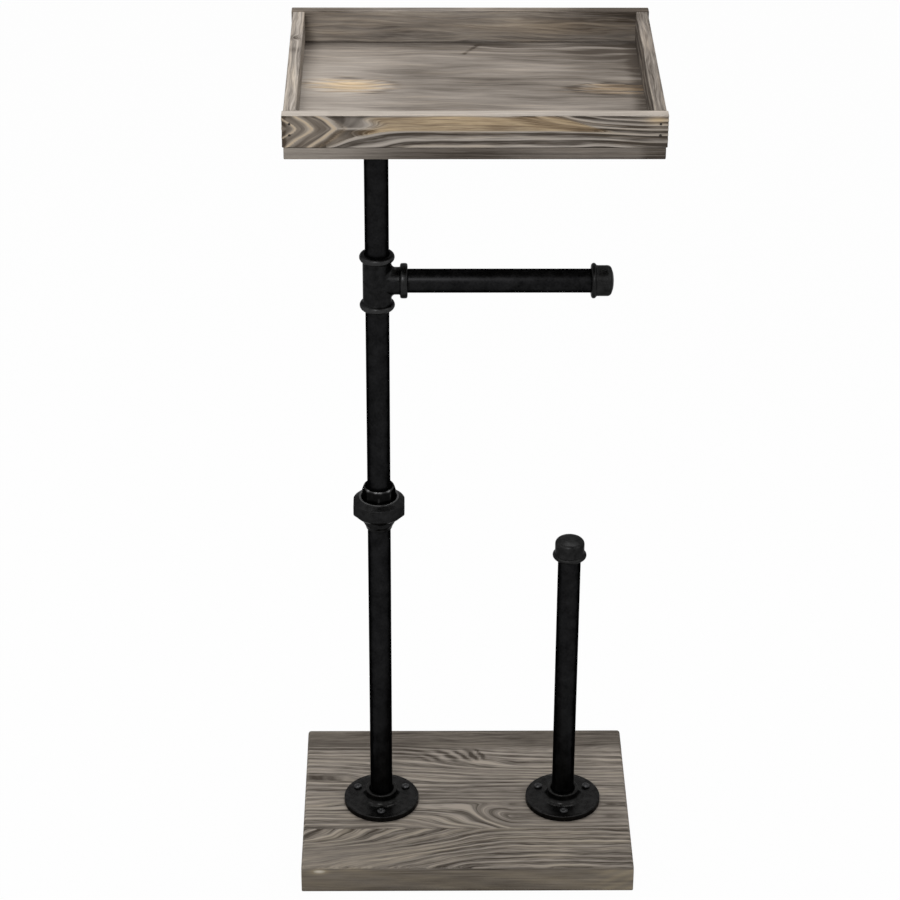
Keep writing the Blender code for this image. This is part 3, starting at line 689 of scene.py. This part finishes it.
lower_corner = UNION_LOWER_FLAT * EIGHTH_CORNER
lower_outline = rounded_outline(
    [
        (SOCKET, 0, 0), (0.0119, 0, 0.0008), (0.0127, 0.003, 0.002),
        (lower_corner, 0.0062, 0.003), (lower_corner + 0.0003, 0.0085, 0.003), (0.0187, 0.0138, 0.001),
        (0.0187, 0.0243, 0.0004), (0.0187, 0.0247, 0.0003), (0.0170, 0.0247, 0), (0.0127, 0.0224, 0),
        (0.0127, 0.0197, 0), (0.0086, 0.0197, 0), (0.0086, 0.0123, 0), (SOCKET, 0.0123, 0),
    ],
    steps=5,
)
union_foot = (*POST, UNION_FOOT)
lathe_piece(
    "union_lower_end", "cast", lower_outline, union_foot, cast_black, "base", "black_fitting",
    flats=flats_for(lower_outline, UNION_LOWER_FLAT, -1, 0.0105),
    first_flat=math.pi / 8,
    steps=128,
)

upper_corner = UNION_UPPER_FLAT * EIGHTH_CORNER
upper_outline = rounded_outline(
    [
        (0.0086, 0.0227, 0), (0.0121, 0.0227, 0), (0.0167, 0.025, 0),
        (0.0184, 0.025, 0.0003), (0.0184, 0.029, 0.0003), (upper_corner, 0.029, 0),
        *((upper_corner, height, 0) for height in (0.031, 0.033, 0.035, 0.037)),
        (upper_corner + 0.0002, 0.0398, 0.002), (0.0153, 0.041, 0), (0.0148, 0.0422, 0),
        (0.0144, 0.0431, 0), (0.0138, UNION_HEIGHT - 0.0001, 0.0006), (0.0125, UNION_HEIGHT, 0.0004),
        (SOCKET, 0.0435, 0), (SOCKET, 0.0322, 0), (0.0086, 0.0322, 0),
    ],
    steps=5,
)
# The upper end's coat is a darker copy of the black, which paints the shade on its flats above the nut
collar_black_painted_shade = black_coat(
    "collar_black_painted_shade", (0.005, 0.005, 0.005), 0.4, skin=1100, rough=0.33, bump_distance=0.00006
)
upper_mesh = lathe_piece(
    "union_upper_end", "cast", upper_outline, union_foot, collar_black_painted_shade, "upper_stand", "black_fitting",
    flats=flats_for(upper_outline, UNION_UPPER_FLAT, 0.0295, 1),
    first_flat=math.pi / 8,
    steps=160,
)

# The upper end is rubbed in short scuffs round its top rim. Two front corners of its flats and
# the nut's lip are brightened, partly as wear and partly as painted highlight.
turn, reach, height = around(upper_mesh, union_foot)
collar_rim = near(height, 0.0441, 0.0007) * (reach > 0.013)
scuffs = sum(near(turn, scuff, 6) for scuff in (-102, -84, -48, -135, 20, 96, 170))
# Front corners: partly wear, partly painted highlight
collar_corners = near(turn, -90, 3) * near(height, 0.036, 0.002)
collar_corners += near(turn, -45, 3) * near(height, 0.039, 0.002)
wear_and_sheen(upper_mesh, collar_rim * (scuffs + 0.15) + 0.16 * collar_corners)

nut_corner = NUT_FLAT * EIGHTH_CORNER
nut_outline = rounded_outline(
    [
        (0.019, 0, 0), (nut_corner - 0.0042, 0, 0.0008), (nut_corner, 0.0036, 0.0015),
        (nut_corner, 0.0116, 0.0014), (0.0236, 0.0148, 0.0016), (0.0187, 0.0172, 0.0004),
        (0.0184, NUT_HEIGHT, 0.0009), (0.0164, NUT_HEIGHT, 0.0006), (0.0162, 0.0147, 0), (0.019, 0.0147, 0),
    ],
    steps=6,
)
nut_foot = (*POST, UNION_FOOT + NUT_RISE)
nut_mesh = lathe_piece(
    "union_nut", "cast", nut_outline, nut_foot, cast_black, "nut", "black_fitting",
    flats=flats_for(nut_outline, NUT_FLAT, -1, 1),
    first_flat=0.0,
    steps=160,
)
_, reach, height = around(nut_mesh, nut_foot)
nut_lip = near(height, NUT_HEIGHT, 0.0005) * (reach > 0.0165)
# The nut's lip: partly wear, partly painted highlight
wear_and_sheen(nut_mesh, 0.32 * nut_lip + 0.016)


def bare_metal(name, dull, bright, stretch, rough, sheen, metallic):
    """Uncoated metal, dull to bright in spots or lines. Its roughness varies by the sheen."""
    material, shader, start = new_finish(name, {"Metallic": metallic})
    spots = start.noise(start.node("ShaderNodeTexCoord", out="Object"), stretch, 2)
    join(start.blend(spots + 0.5, (*dull, 1), (*bright, 1)), shader["Base Color"])
    join(rough + spots * sheen, shader["Roughness"])
    return material


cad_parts["union_seat_ring"].material_slots[0].material = bare_metal(
    "seat_brass_turned", (0.45, 0.3, 0.11), (0.75, 0.56, 0.26), (300, 300, 5000), 0.35, 0.2, 1.0
)


# Tee
# One hollow casting that joins the two upper pipes of the post and the arm. A rolled bead goes
# round each mouth, and the branch swells softly into the body.
TEE_MIDDLE = (*POST, (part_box("tee")[0].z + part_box("tee")[1].z) / 2)
TEE_REACH, TEE_BEAD, TEE_BODY, BRANCH_BODY = 0.027, 0.0157, 0.0128, 0.0123
RUN_BEAD_WIDTH, BRANCH_BEAD_WIDTH = 0.007, 0.0068
TEE_STEPS = 128


def beaded_end(body, bead, width, reach, fullness=1.0):
    """The profile of a mouth: the body, a small fillet, a bead and the step down to the socket.
    The bead's section is half an ellipse; a fullness below 1 squares it up."""
    swing = np.linspace(math.pi / 2, -math.pi / 2, 15)[1:-1]
    root = body - 0.0004
    round_r = root + (bead - root) * np.cos(swing) ** fullness
    round_h = reach - width / 2 - width / 2 * np.sign(swing) * np.abs(np.sin(swing)) ** fullness
    foot = [(body, -0.0012), (body + 0.0001, -0.0005), (body + 0.0005, 0)]
    foot = foot + np.array([0, reach - width])
    lip = [(SOCKET + 0.0009, reach), (SOCKET + 0.0002, reach - 0.0003), (SOCKET, reach - 0.001)]
    return np.concatenate([foot, np.stack([round_r, round_h], axis=1), lip])


mouth = beaded_end(TEE_BODY, TEE_BEAD, RUN_BEAD_WIDTH, TEE_REACH)
run_outline = np.concatenate([mouth[::-1], mouth * np.array([1, -1])])
run_points, run_quads = turned(run_outline, steps=TEE_STEPS)

# The branch's first rings lie on the body, where the branch's cylinder meets it, and swell out
# from there by a quarter round that is widest at the branch's sides
around_branch = 2 * math.pi * np.arange(TEE_STEPS) / TEE_STEPS
quarter = np.linspace(math.pi / 2, 0, 11)[:, None]
swelling = 0.0045 * np.sin(around_branch) ** 2 + 0.0002
foot_radius = BRANCH_BODY + swelling * (1 - np.cos(quarter))
on_body = np.sqrt(np.clip(TEE_BODY**2 - (foot_radius * np.cos(around_branch)) ** 2, 0, None))
foot_reach = on_body + swelling * (1 - np.sin(quarter)) - 0.00005
branch_mouth = beaded_end(BRANCH_BODY, TEE_BEAD, BRANCH_BEAD_WIDTH, TEE_REACH, fullness=0.5)
rest = np.concatenate([[[BRANCH_BODY, 0.0175]], branch_mouth, [[SOCKET, 0.009]]])
ring_radius = np.concatenate([foot_radius, np.repeat(rest[:, :1], TEE_STEPS, axis=1)])
ring_reach = np.concatenate([foot_reach, np.repeat(rest[:, 1:], TEE_STEPS, axis=1)])
branch_sides = [ring_radius * np.sin(around_branch), ring_radius * np.cos(around_branch)]
branch_points = np.stack([*branch_sides, ring_reach], axis=-1).reshape(-1, 3)
branch_quads = ring_quads(len(ring_radius), TEE_STEPS, closed=True)

run_points, run_faces = merged(run_points, run_quads)
branch_points, branch_faces = merged(branch_points, branch_quads, count_from=len(run_points))
tee_points = np.concatenate([placed(run_points, TEE_MIDDLE), placed(branch_points, TEE_MIDDLE, "X")])
tee_surface = tee_points, run_faces + branch_faces
tee_mesh = dressed("tee", "cast", *tee_surface, cast_black, "upper_stand", "black_fitting")

# The coat is a little rubbed on the crests of the beads, less on the branch's; the brighter crests also
# stand in for the lamp's highlight there, as painted highlight
off = tee_points - np.array(TEE_MIDDLE)
on_run = off[:, 0] < 0.017
crest_low, crest_high = 0.0147, 0.0156
run_crest = smooth(crest_low, crest_high, np.hypot(off[:, 0], off[:, 1])) * on_run
branch_crest = smooth(crest_low, crest_high, np.hypot(off[:, 1], off[:, 2])) * ~on_run
wear_and_sheen(tee_mesh, 0.12 * run_crest + 0.05 * branch_crest)


# End caps
# A small iron cup is screwed on the end of the arm and of the spindle. It has a thin bead round
# its mouth and a low domed end.
CAP_LENGTH, CAP_RADIUS, CAP_DEPTH, DOME_RISE = 0.0201, 0.0137, 0.0123, 0.0024
CAP_BEAD, CAP_BEAD_WIDTH = 0.0158, 0.0046
cap_ball = (CAP_RADIUS**2 + DOME_RISE**2) / (2 * DOME_RISE)
dome_radius = np.linspace(0.0075, 0.0, 8)
dome_height = CAP_LENGTH - cap_ball + np.sqrt(cap_ball**2 - dome_radius**2)
cap_mouth = beaded_end(CAP_RADIUS, CAP_BEAD, CAP_BEAD_WIDTH, 0.0)[::-1] * np.array([1, -1])
cap_side = rounded_outline(
    [(CAP_RADIUS, 0.0064, 0), (CAP_RADIUS, 0.0173, 0.0042), (dome_radius[0], dome_height[0], 0)],
    steps=12,
)
cap_outline = np.concatenate(
    [
        [(0.0, CAP_DEPTH), (SOCKET, CAP_DEPTH)],
        cap_mouth,
        cap_side[:-1],
        np.stack([dome_radius, dome_height], axis=1),
    ]
)
cap_black = black_coat(
    "cap_black", (0.0165, 0.0165, 0.0165), 0.5, skin=700, rough=0.36, bump_distance=0.00012
)
arm_cap_low, arm_cap_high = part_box("arm_cap")
arm_cap_seat = (arm_cap_low.x, POST[1], (arm_cap_low.z + arm_cap_high.z) / 2)
spindle_cap_seat = (*SPINDLE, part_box("spindle_cap")[0].z)
for name, seat, axis, body in (
    ("arm_cap", arm_cap_seat, "X", "cap_on_arm"),
    ("spindle_cap", spindle_cap_seat, "Z", "cap_on_spindle"),
):
    coat = (cap_black, body, "black_fitting")
    lathe_piece(name, "cast", cap_outline, seat, *coat, axis, steps=112, closed=False)


# Tray floor
# A thin pine board that lies on the tray's flange. It is paler than the base, with tan heartwood
# in front of its middle and one short dark check near the back.

# The height of the floor's top, in millimetres
FLOOR_TOP = 773.5


def floor_figure(place):
    """Quiet lines that run along the board, parting round two tan hearts in front of its middle."""
    x, y, z = place.T
    depth = FLOOR_TOP - z
    below = smooth(0.6, 1.6, depth)
    # Hearts: two hills in the count of lines, tan inside a darker rim
    uneven = y + 3 * ripple(2 * x, 4 * y, 1.3)
    hearts = patches(x, uneven, (1.4, -106, 12, 38, 15), (1.3, 124, 5, 38, 11))
    count = (y + 0.04 * x) / 13 + hearts + 0.35 * ripple(x, y, 0.9)
    tan = 0.9 * smooth(0.2, 1.5, hearts + 0.6 * ripple(1.1 * x, 14 * y, 0.2) - 0.1) * (1 - below)
    rim = near(hearts, 0.42, 0.16) * (0.4 + 0.6 * ripple(3 * x, 5 * y, 4.0))
    # Back right: a few bolder lines, one of them pale and wavy
    wavy_line = near(y, 101 + 2 * np.sin(x / 23), 1.6) * smooth(2, 20, x)
    wavy = near(y, 98, 8) * smooth(-10, 20, x)
    # Check: a short dark line from one point to another, by the distance to its nearest point
    check_from, check_to = np.array([7.0, 105.0]), np.array([-6.0, 84.0])
    way = check_to - check_from
    off = np.stack([x, y], axis=1) - check_from
    share = np.clip(off @ way / (way @ way), 0, 1)
    miss = np.linalg.norm(off - share[:, None] * way, axis=1)
    check = near(miss, 0, 1.5) * (0.75 + 0.25 * np.sin(6 * share + 1)) * (1 - below)
    # Tones: pale at the left and darker towards the back right, with painted shade in the corners under the
    # walls and along the right end
    corner = np.maximum(smooth(-128, -146, x) * smooth(-20, 100, y), smooth(132, 144, x))
    light = -0.22 + 0.42 * smooth(-40, -120, x) * smooth(106, 50, y) - 0.2 * corner - 0.1 * below
    light = light - 0.12 * smooth(60, 110, x) * smooth(0, 40, y) + tan * np.where(x < 0, -0.2, 0.1)
    light = light - 0.3 * rim * (1 - below) - 0.45 * check + 0.14 * wavy_line
    return {
        "along": x + 900,
        "side": 0.5 * y,
        "through": z - 700,
        "ring": np.where(depth > 0.8, z / 4, count),
        "bold": 0.1 + 0.1 * smooth(60, 150, x) + 0.35 * wavy,
        "busy": 0.36 + 0.5 * smooth(0.1, 0.7, hearts) * (1 - below),
        "tan": tan,
        "light": light + 0.15 * ripple(0.6 * x, 1.5 * y, 2.8),
    }


tray_pine = pine(
    "weathered_pine_tray",
    groove=(0.06, 0.048, 0.038),
    ridge=(0.47, 0.42, 0.37),
    tan_groove=(0.16, 0.104, 0.055),
    tan_ridge=(0.68, 0.52, 0.33),
)
TRAY_EASE = (0.001, 0.001)
NAIL_X, NAIL_Y, FLOOR_NAIL_X = 0.15155, 0.11605, 0.0869
DIMPLE_RADIUS, DIMPLE_DEPTH = 0.00125, 0.0011
floor_nails = [(x, y) for x in (-FLOOR_NAIL_X, FLOOR_NAIL_X) for y in (-NAIL_Y, NAIL_Y)]
floor_nails += [(-NAIL_X, 0), (NAIL_X, 0)]


def close_to(*spots):
    """Grid lines a fifth of a millimetre apart round each nail."""
    return (np.array(spots)[:, None] + np.arange(-8, 9) * 0.0002).ravel()


board(
    "tray_floor",
    "upper_stand",
    tray_pine,
    ease=TRAY_EASE,
    pitches=(0.0026, 0.0016, 0.002),
    figure=floor_figure,
    extra=(close_to(-NAIL_X, -FLOOR_NAIL_X, FLOOR_NAIL_X, NAIL_X), close_to(-NAIL_Y, 0, NAIL_Y), ()),
    dimples=[((x, y, tray_underside), 2, DIMPLE_RADIUS, DIMPLE_DEPTH) for x, y in floor_nails],
)


# Tray walls
# Four thin pine boards stand on the floor board. The front and back ones run the full length and
# are nailed through their faces into the ends of the side ones; all are nailed up from below.

# The height of the walls' tops, in millimetres
WALL_TOP = 802.7
# How boldly a line shows goes by its whole number, so the front wall starts its count where the
# dark band under the lens and the lines beside it come out bold
FRONT_COUNT = 72


def curve_through(value, places, levels):
    """A curve through the given levels, straight from place to place, with its corners rounded."""
    return sum(np.interp(value + shift, places, levels) for shift in (-6, -3, 0, 3, 6)) / 5


def front_figure(place):
    """Three chevrons at the left end, a dark zone, then a long tan lens under the top edge with
    lines that follow its lower side, and close dark lines at the right end. The top face is pale.

    Left of the dark zone the lines are counted by where a point's chevron has its tip; right of it
    by how far the point lies below the lens, in steps of the gap between the two lines there.
    """
    x, y, z = place.T
    h = WALL_TOP - z
    on_top = smooth(1.2, 0.2, h)
    # Lens: its lower side, and how far below it the next line runs
    lens_foot = curve_through(
        x,
        (-130, -111, -100, -90, -81, -72, -58, 60, 100, 140),
        (34, 25.6, 20.6, 18.6, 15.8, 14.6, 14, 14, 15, 17),
    )
    next_line = curve_through(
        x, (-110, -98, -78, -68, -54, -14, 102, 142), (31, 28.6, 27.2, 23.6, 21.6, 21.2, 20.6, 23.6)
    )
    under = (h - lens_foot) / (next_line - lens_foot)
    at_end = smooth(20, 115, x)
    above = -np.logaddexp(0, (lens_foot - h) / 1.2) * 1.2 * (0.012 + 0.24 * at_end)
    lines = 3.78 + np.maximum(under, 0) + above + 0.06 * ripple(1.6 * x, 3 * h, 2.1)
    lens_left = smooth(-96, -72, x + 0.5 * (h - 8) + 5 * np.sin(h / 1.9))
    lens_top = 1.0 + 0.5 * np.sin(x / 15) + 11.5 * smooth(58, 112, x)
    above_foot = smooth(0.4, -0.8, h - lens_foot)
    lens = lens_left * above_foot * smooth(-0.8, 1.2, h - lens_top) * smooth(116, 92, x)
    # Chevrons: a rounded arrow's tip is further left the further the point is from its axis
    off = np.hypot(h - 12, 0.8)
    tip = x + 1.2 * off + 0.012 * off * off + 1.5 * ripple(x, 5 * h, 0.7)
    chevrons = np.interp(tip, (-174, -158, -146, -132, -113.6, -104), (-1.1, -0.1, 0.9, 1.9, 2.9, 3.3))
    chevrons = np.minimum(sharpened(chevrons, 2.2), 3.02)
    in_chevrons = smooth(-100, -106, tip)
    lines = np.where(x > 0, lines, np.maximum(lines, 3.5))
    count = np.where(tip < -106, chevrons, lines)
    ridge = near(np.mod(count, 1), 0.78, 0.16) * in_chevrons
    # Dark zone between the two, with a pale line along its axis, and the dark band under the lens
    dark_zone = smooth(-113, -109, tip) * smooth(-0.8, -2, h - lens_foot)
    dark_zone *= smooth(12.2, 13.2, h) * smooth(-76, -84, x)
    axis_line = near(h, 11.8, 0.7) * smooth(-114, -108, x) * smooth(-80, -88, x)
    under_lens = near(h, lens_foot + 2.8, 1.3) * smooth(-84, -68, x) * (1 - 0.5 * smooth(-20, 0, x))
    # Single marks: dark streaks at the right end, pale and tan spots, darker ends, and painted shade in a
    # line just under the top edge
    at_top = (1, 91, 1.8, 14, 1), (0.5, 30, 1.8, 24, 0.8)
    lower = (1, 105, 12.8, 7, 0.7), (1, 112, 17.2, 16, 1), (0.7, 130, 11, 18, 1.3), (0.8, 135, 23, 18, 1.2)
    streaks = patches(x, h, *at_top, *lower)
    by_lens = (0.2, 98, 6, 18, 2), (0.2, -94, 6, 12, 4)
    by_chevrons = (0.3, -134, 12.5, 4, 3.5), (0.2, -116, 12, 4, 3)
    pale = patches(x, h, *by_lens, *by_chevrons)
    corner_spot = patches(x, h, (1, 149, 4, 9, 3.5))
    # Painted shade: a dark line just under the top edge
    rim = near(h, 1.5, 0.6) * (1 - lens)
    ends = 0.35 * smooth(-153, -156, x) + 0.1 * smooth(148, 156, x)
    light = 0.08 + 0.1 * in_chevrons - 0.18 * lens - 0.42 * dark_zone + 0.6 * axis_line + pale
    light = light - 0.35 * under_lens - 0.5 * streaks + 0.3 * corner_spot - 0.1 * at_end - 0.2 * rim
    tan = 0.85 * lens + 0.15 * in_chevrons + 0.5 * ridge + 0.12 * dark_zone + 0.8 * corner_spot
    return {
        "along": x + 1500,
        "side": 0.8 * h * lens,
        "through": y,
        "ring": np.where(h < 0.6, y / 5, count) + FRONT_COUNT,
        "bold": (0.88 - 0.64 * lens) * (1 - 0.8 * on_top) * (1 - 0.8 * dark_zone),
        "busy": 0.8 - 0.2 * in_chevrons + 0.05 * lens - 0.3 * on_top,
        "tan": np.clip(tan, 0, 1) * (1 - on_top),
        "light": light + 0.22 * on_top - 0.08 * smooth(22, 28, h) - ends * (1 - on_top),
    }


def back_figure(place):
    """Long quiet lines, a little wavy, darker towards the right end, with painted shade on its faces at the
    left end, by the left wall.
    """
    x, y, z = place.T
    h = z - WALL_TOP
    return {
        "along": x + 2100,
        "side": 0.3 * h,
        "through": y,
        "ring": np.where(h > -0.6, y / 5, (h + 0.03 * x) / 9 + 0.3 * ripple(x, 4 * h, 3.3)),
        "bold": 0.22,
        "busy": 0.62,
        "tan": 0.04 + patches(x, h, (0.3, 60, -14, 70, 8)),
        # The last term is painted shade on the faces at the left end, by the left wall
        "light": 0.04 - 0.26 * smooth(20, 110, x) - 0.3 * smooth(-1.2, -0.2, h)
        + 0.2 * ripple(0.7 * x, 2 * h, 1.9) - 0.25 * smooth(-134, -147, x) * smooth(-1.2, -2, h),
    }


def side_figure(place):
    """Lines along the board from front to back, with a small dark knot in the left board's top.
    The right board's inner face is darker, by painted shade."""
    x, y, z = place.T
    h = z - WALL_TOP
    left = x < 0
    knot_off = np.hypot((y - 49) / 1.5, x + 152.5)
    knot = np.where(left, near(knot_off, 0, 3.2) * np.exp(h / 9), 0)
    band = np.where(left, patches(y, x, (1, 21, -152, 6, 12)), 0)
    on_top = smooth(-1.2, -0.2, h)
    # Painted shade on the right board's inner face
    painted_inner_shade = smooth(150, 147.5, x) * smooth(140, 145, x) * (1 - on_top)
    return {
        "along": y + np.where(left, 2700, 3300),
        "side": 0.0,
        "through": h,
        "ring": x / 5.5 + h / 11 + 0.35 * ripple(y, 3 * x, 5.1) + 1.3 * knot,
        "bold": 0.26,
        "busy": 0.75,
        "tan": 0.0,
        "light": -0.08 - 0.5 * knot - 0.22 * band + np.where(left, 0.12, -0.15) * on_top
        - 0.32 * painted_inner_shade,
    }


corner_nails = []
for side in ("left", "right"):
    for number in (1, 2):
        nail_low, nail_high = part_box(f"tray_nail_front_{side}_{number}")
        corner_nails.append(((nail_low.x + nail_high.x) / 2, (nail_low.z + nail_high.z) / 2))
nail_heights = sorted({round(z, 5) for _, z in corner_nails})
for name, figure, outside in (("tray_front_wall", front_figure, 0), ("tray_back_wall", back_figure, 1)):
    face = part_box(name)[outside].y
    board(
        name,
        "upper_stand",
        tray_pine,
        ease=TRAY_EASE,
        pitches=(0.0016, 0.0014, 0.0009),
        figure=figure,
        extra=(close_to(-NAIL_X, NAIL_X), (), close_to(*nail_heights)),
        dimples=[((x, face, z), 1, DIMPLE_RADIUS, DIMPLE_DEPTH) for x, z in corner_nails],
    )

for name in ("tray_left_wall", "tray_right_wall"):
    board(name, "upper_stand", tray_pine, TRAY_EASE, pitches=(0.0009, 0.0018, 0.0012), figure=side_figure)


# Nails
# Thin steel brads with small flat heads, two at each of the tray's corners and six up through
# its floor. They are punched just below the wood and have gone dark with the stain.
nail_steel = bare_metal(
    "nail_steel_dark", (0.02, 0.018, 0.016), (0.09, 0.08, 0.07), (2500, 2500, 2500), 0.5, 0.3, 0.8
)
for name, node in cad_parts.items():
    if "_nail_" in name:
        node.material_slots[0].material = nail_steel


# Studio
# A plain white floor under a pale sky, with a small lamp high at the left front, a weak large one
# at each side and a strong one overhead. To the camera the floor is white but for the shadow.
floor_size = 9.0
floor_mesh = bpy.data.meshes.new("studio_floor")
corners = [(x * floor_size, y * floor_size, 0) for x, y in ((-1, -1), (1, -1), (1, 1), (-1, 1))]
floor_mesh.from_pydata(corners, [], [(0, 1, 2, 3)])
floor = bpy.data.objects.new("studio_floor", floor_mesh)
bpy.context.scene.collection.objects.link(floor)
matt_grey = {"Base Color": (0.65, 0.65, 0.65, 1), "Roughness": 1.0, "Specular IOR Level": 0.0}
paper, _, paper_start = new_finish("studio_white", matt_grey)
paper_nodes = paper.node_tree.nodes
floor_mesh.materials.append(paper)


def seen_directly(start):
    """1 for rays from the camera and rays that reach the background by a reflection or glass."""
    kinds = ("Is Camera Ray", "Is Glossy Ray", "Is Transmission Ray")
    camera_ray, glossy_ray, glass_ray = (start.node("ShaderNodeLightPath", out=kind) for kind in kinds)
    return start.maths("MAXIMUM", start.maths("MAXIMUM", camera_ray, glossy_ray), glass_ray)


white_light = paper_start.node("ShaderNodeEmission", None, {"Color": (1, 1, 1, 1), "Strength": 1.0})
matt = Flow(paper.node_tree, paper_nodes["Principled BSDF"].outputs[0])
share = seen_directly(paper_start) * 0.975
mixed = paper_start.node("ShaderNodeMixShader", None, {0: share, 1: matt, 2: white_light})
join(mixed, paper_nodes["Material Output"].inputs["Surface"])

world = bpy.data.worlds.new("studio_sky")
bpy.context.scene.world = world
world.use_nodes = True
sky_start = Flow(world.node_tree)
sky = world.node_tree.nodes["Background"].inputs
sky["Color"].default_value = (1, 1, 1, 1)
join(seen_directly(sky_start) * 0.65 + 0.35, sky["Strength"])

lamps_face = Vector((0, 0, 0.4))
for name, place, size, power in (
    ("front_lamp", (-0.5, -1.75, 2.05), 0.55, 17),
    ("right_lamp", (1.9, -0.9, 1.6), 1.2, 5),
    ("left_lamp", (-1.9, -0.3, 2.0), 1.2, 7),
    ("top_lamp", (0.1, 0.6, 2.7), 1.5, 34),
):
    lamp_data = bpy.data.lights.new(name, "AREA")
    lamp_data.shape = "DISK"
    lamp_data.size = size
    lamp_data.energy = power
    lamp = bpy.data.objects.new(name, lamp_data)
    turn = (Vector(place) - lamps_face).to_track_quat("Z", "Y")
    lamp.matrix_world = Matrix.Translation(place) @ turn.to_matrix().to_4x4()
    bpy.context.scene.collection.objects.link(lamp)

bpy.context.scene.view_settings.view_transform = "Standard"
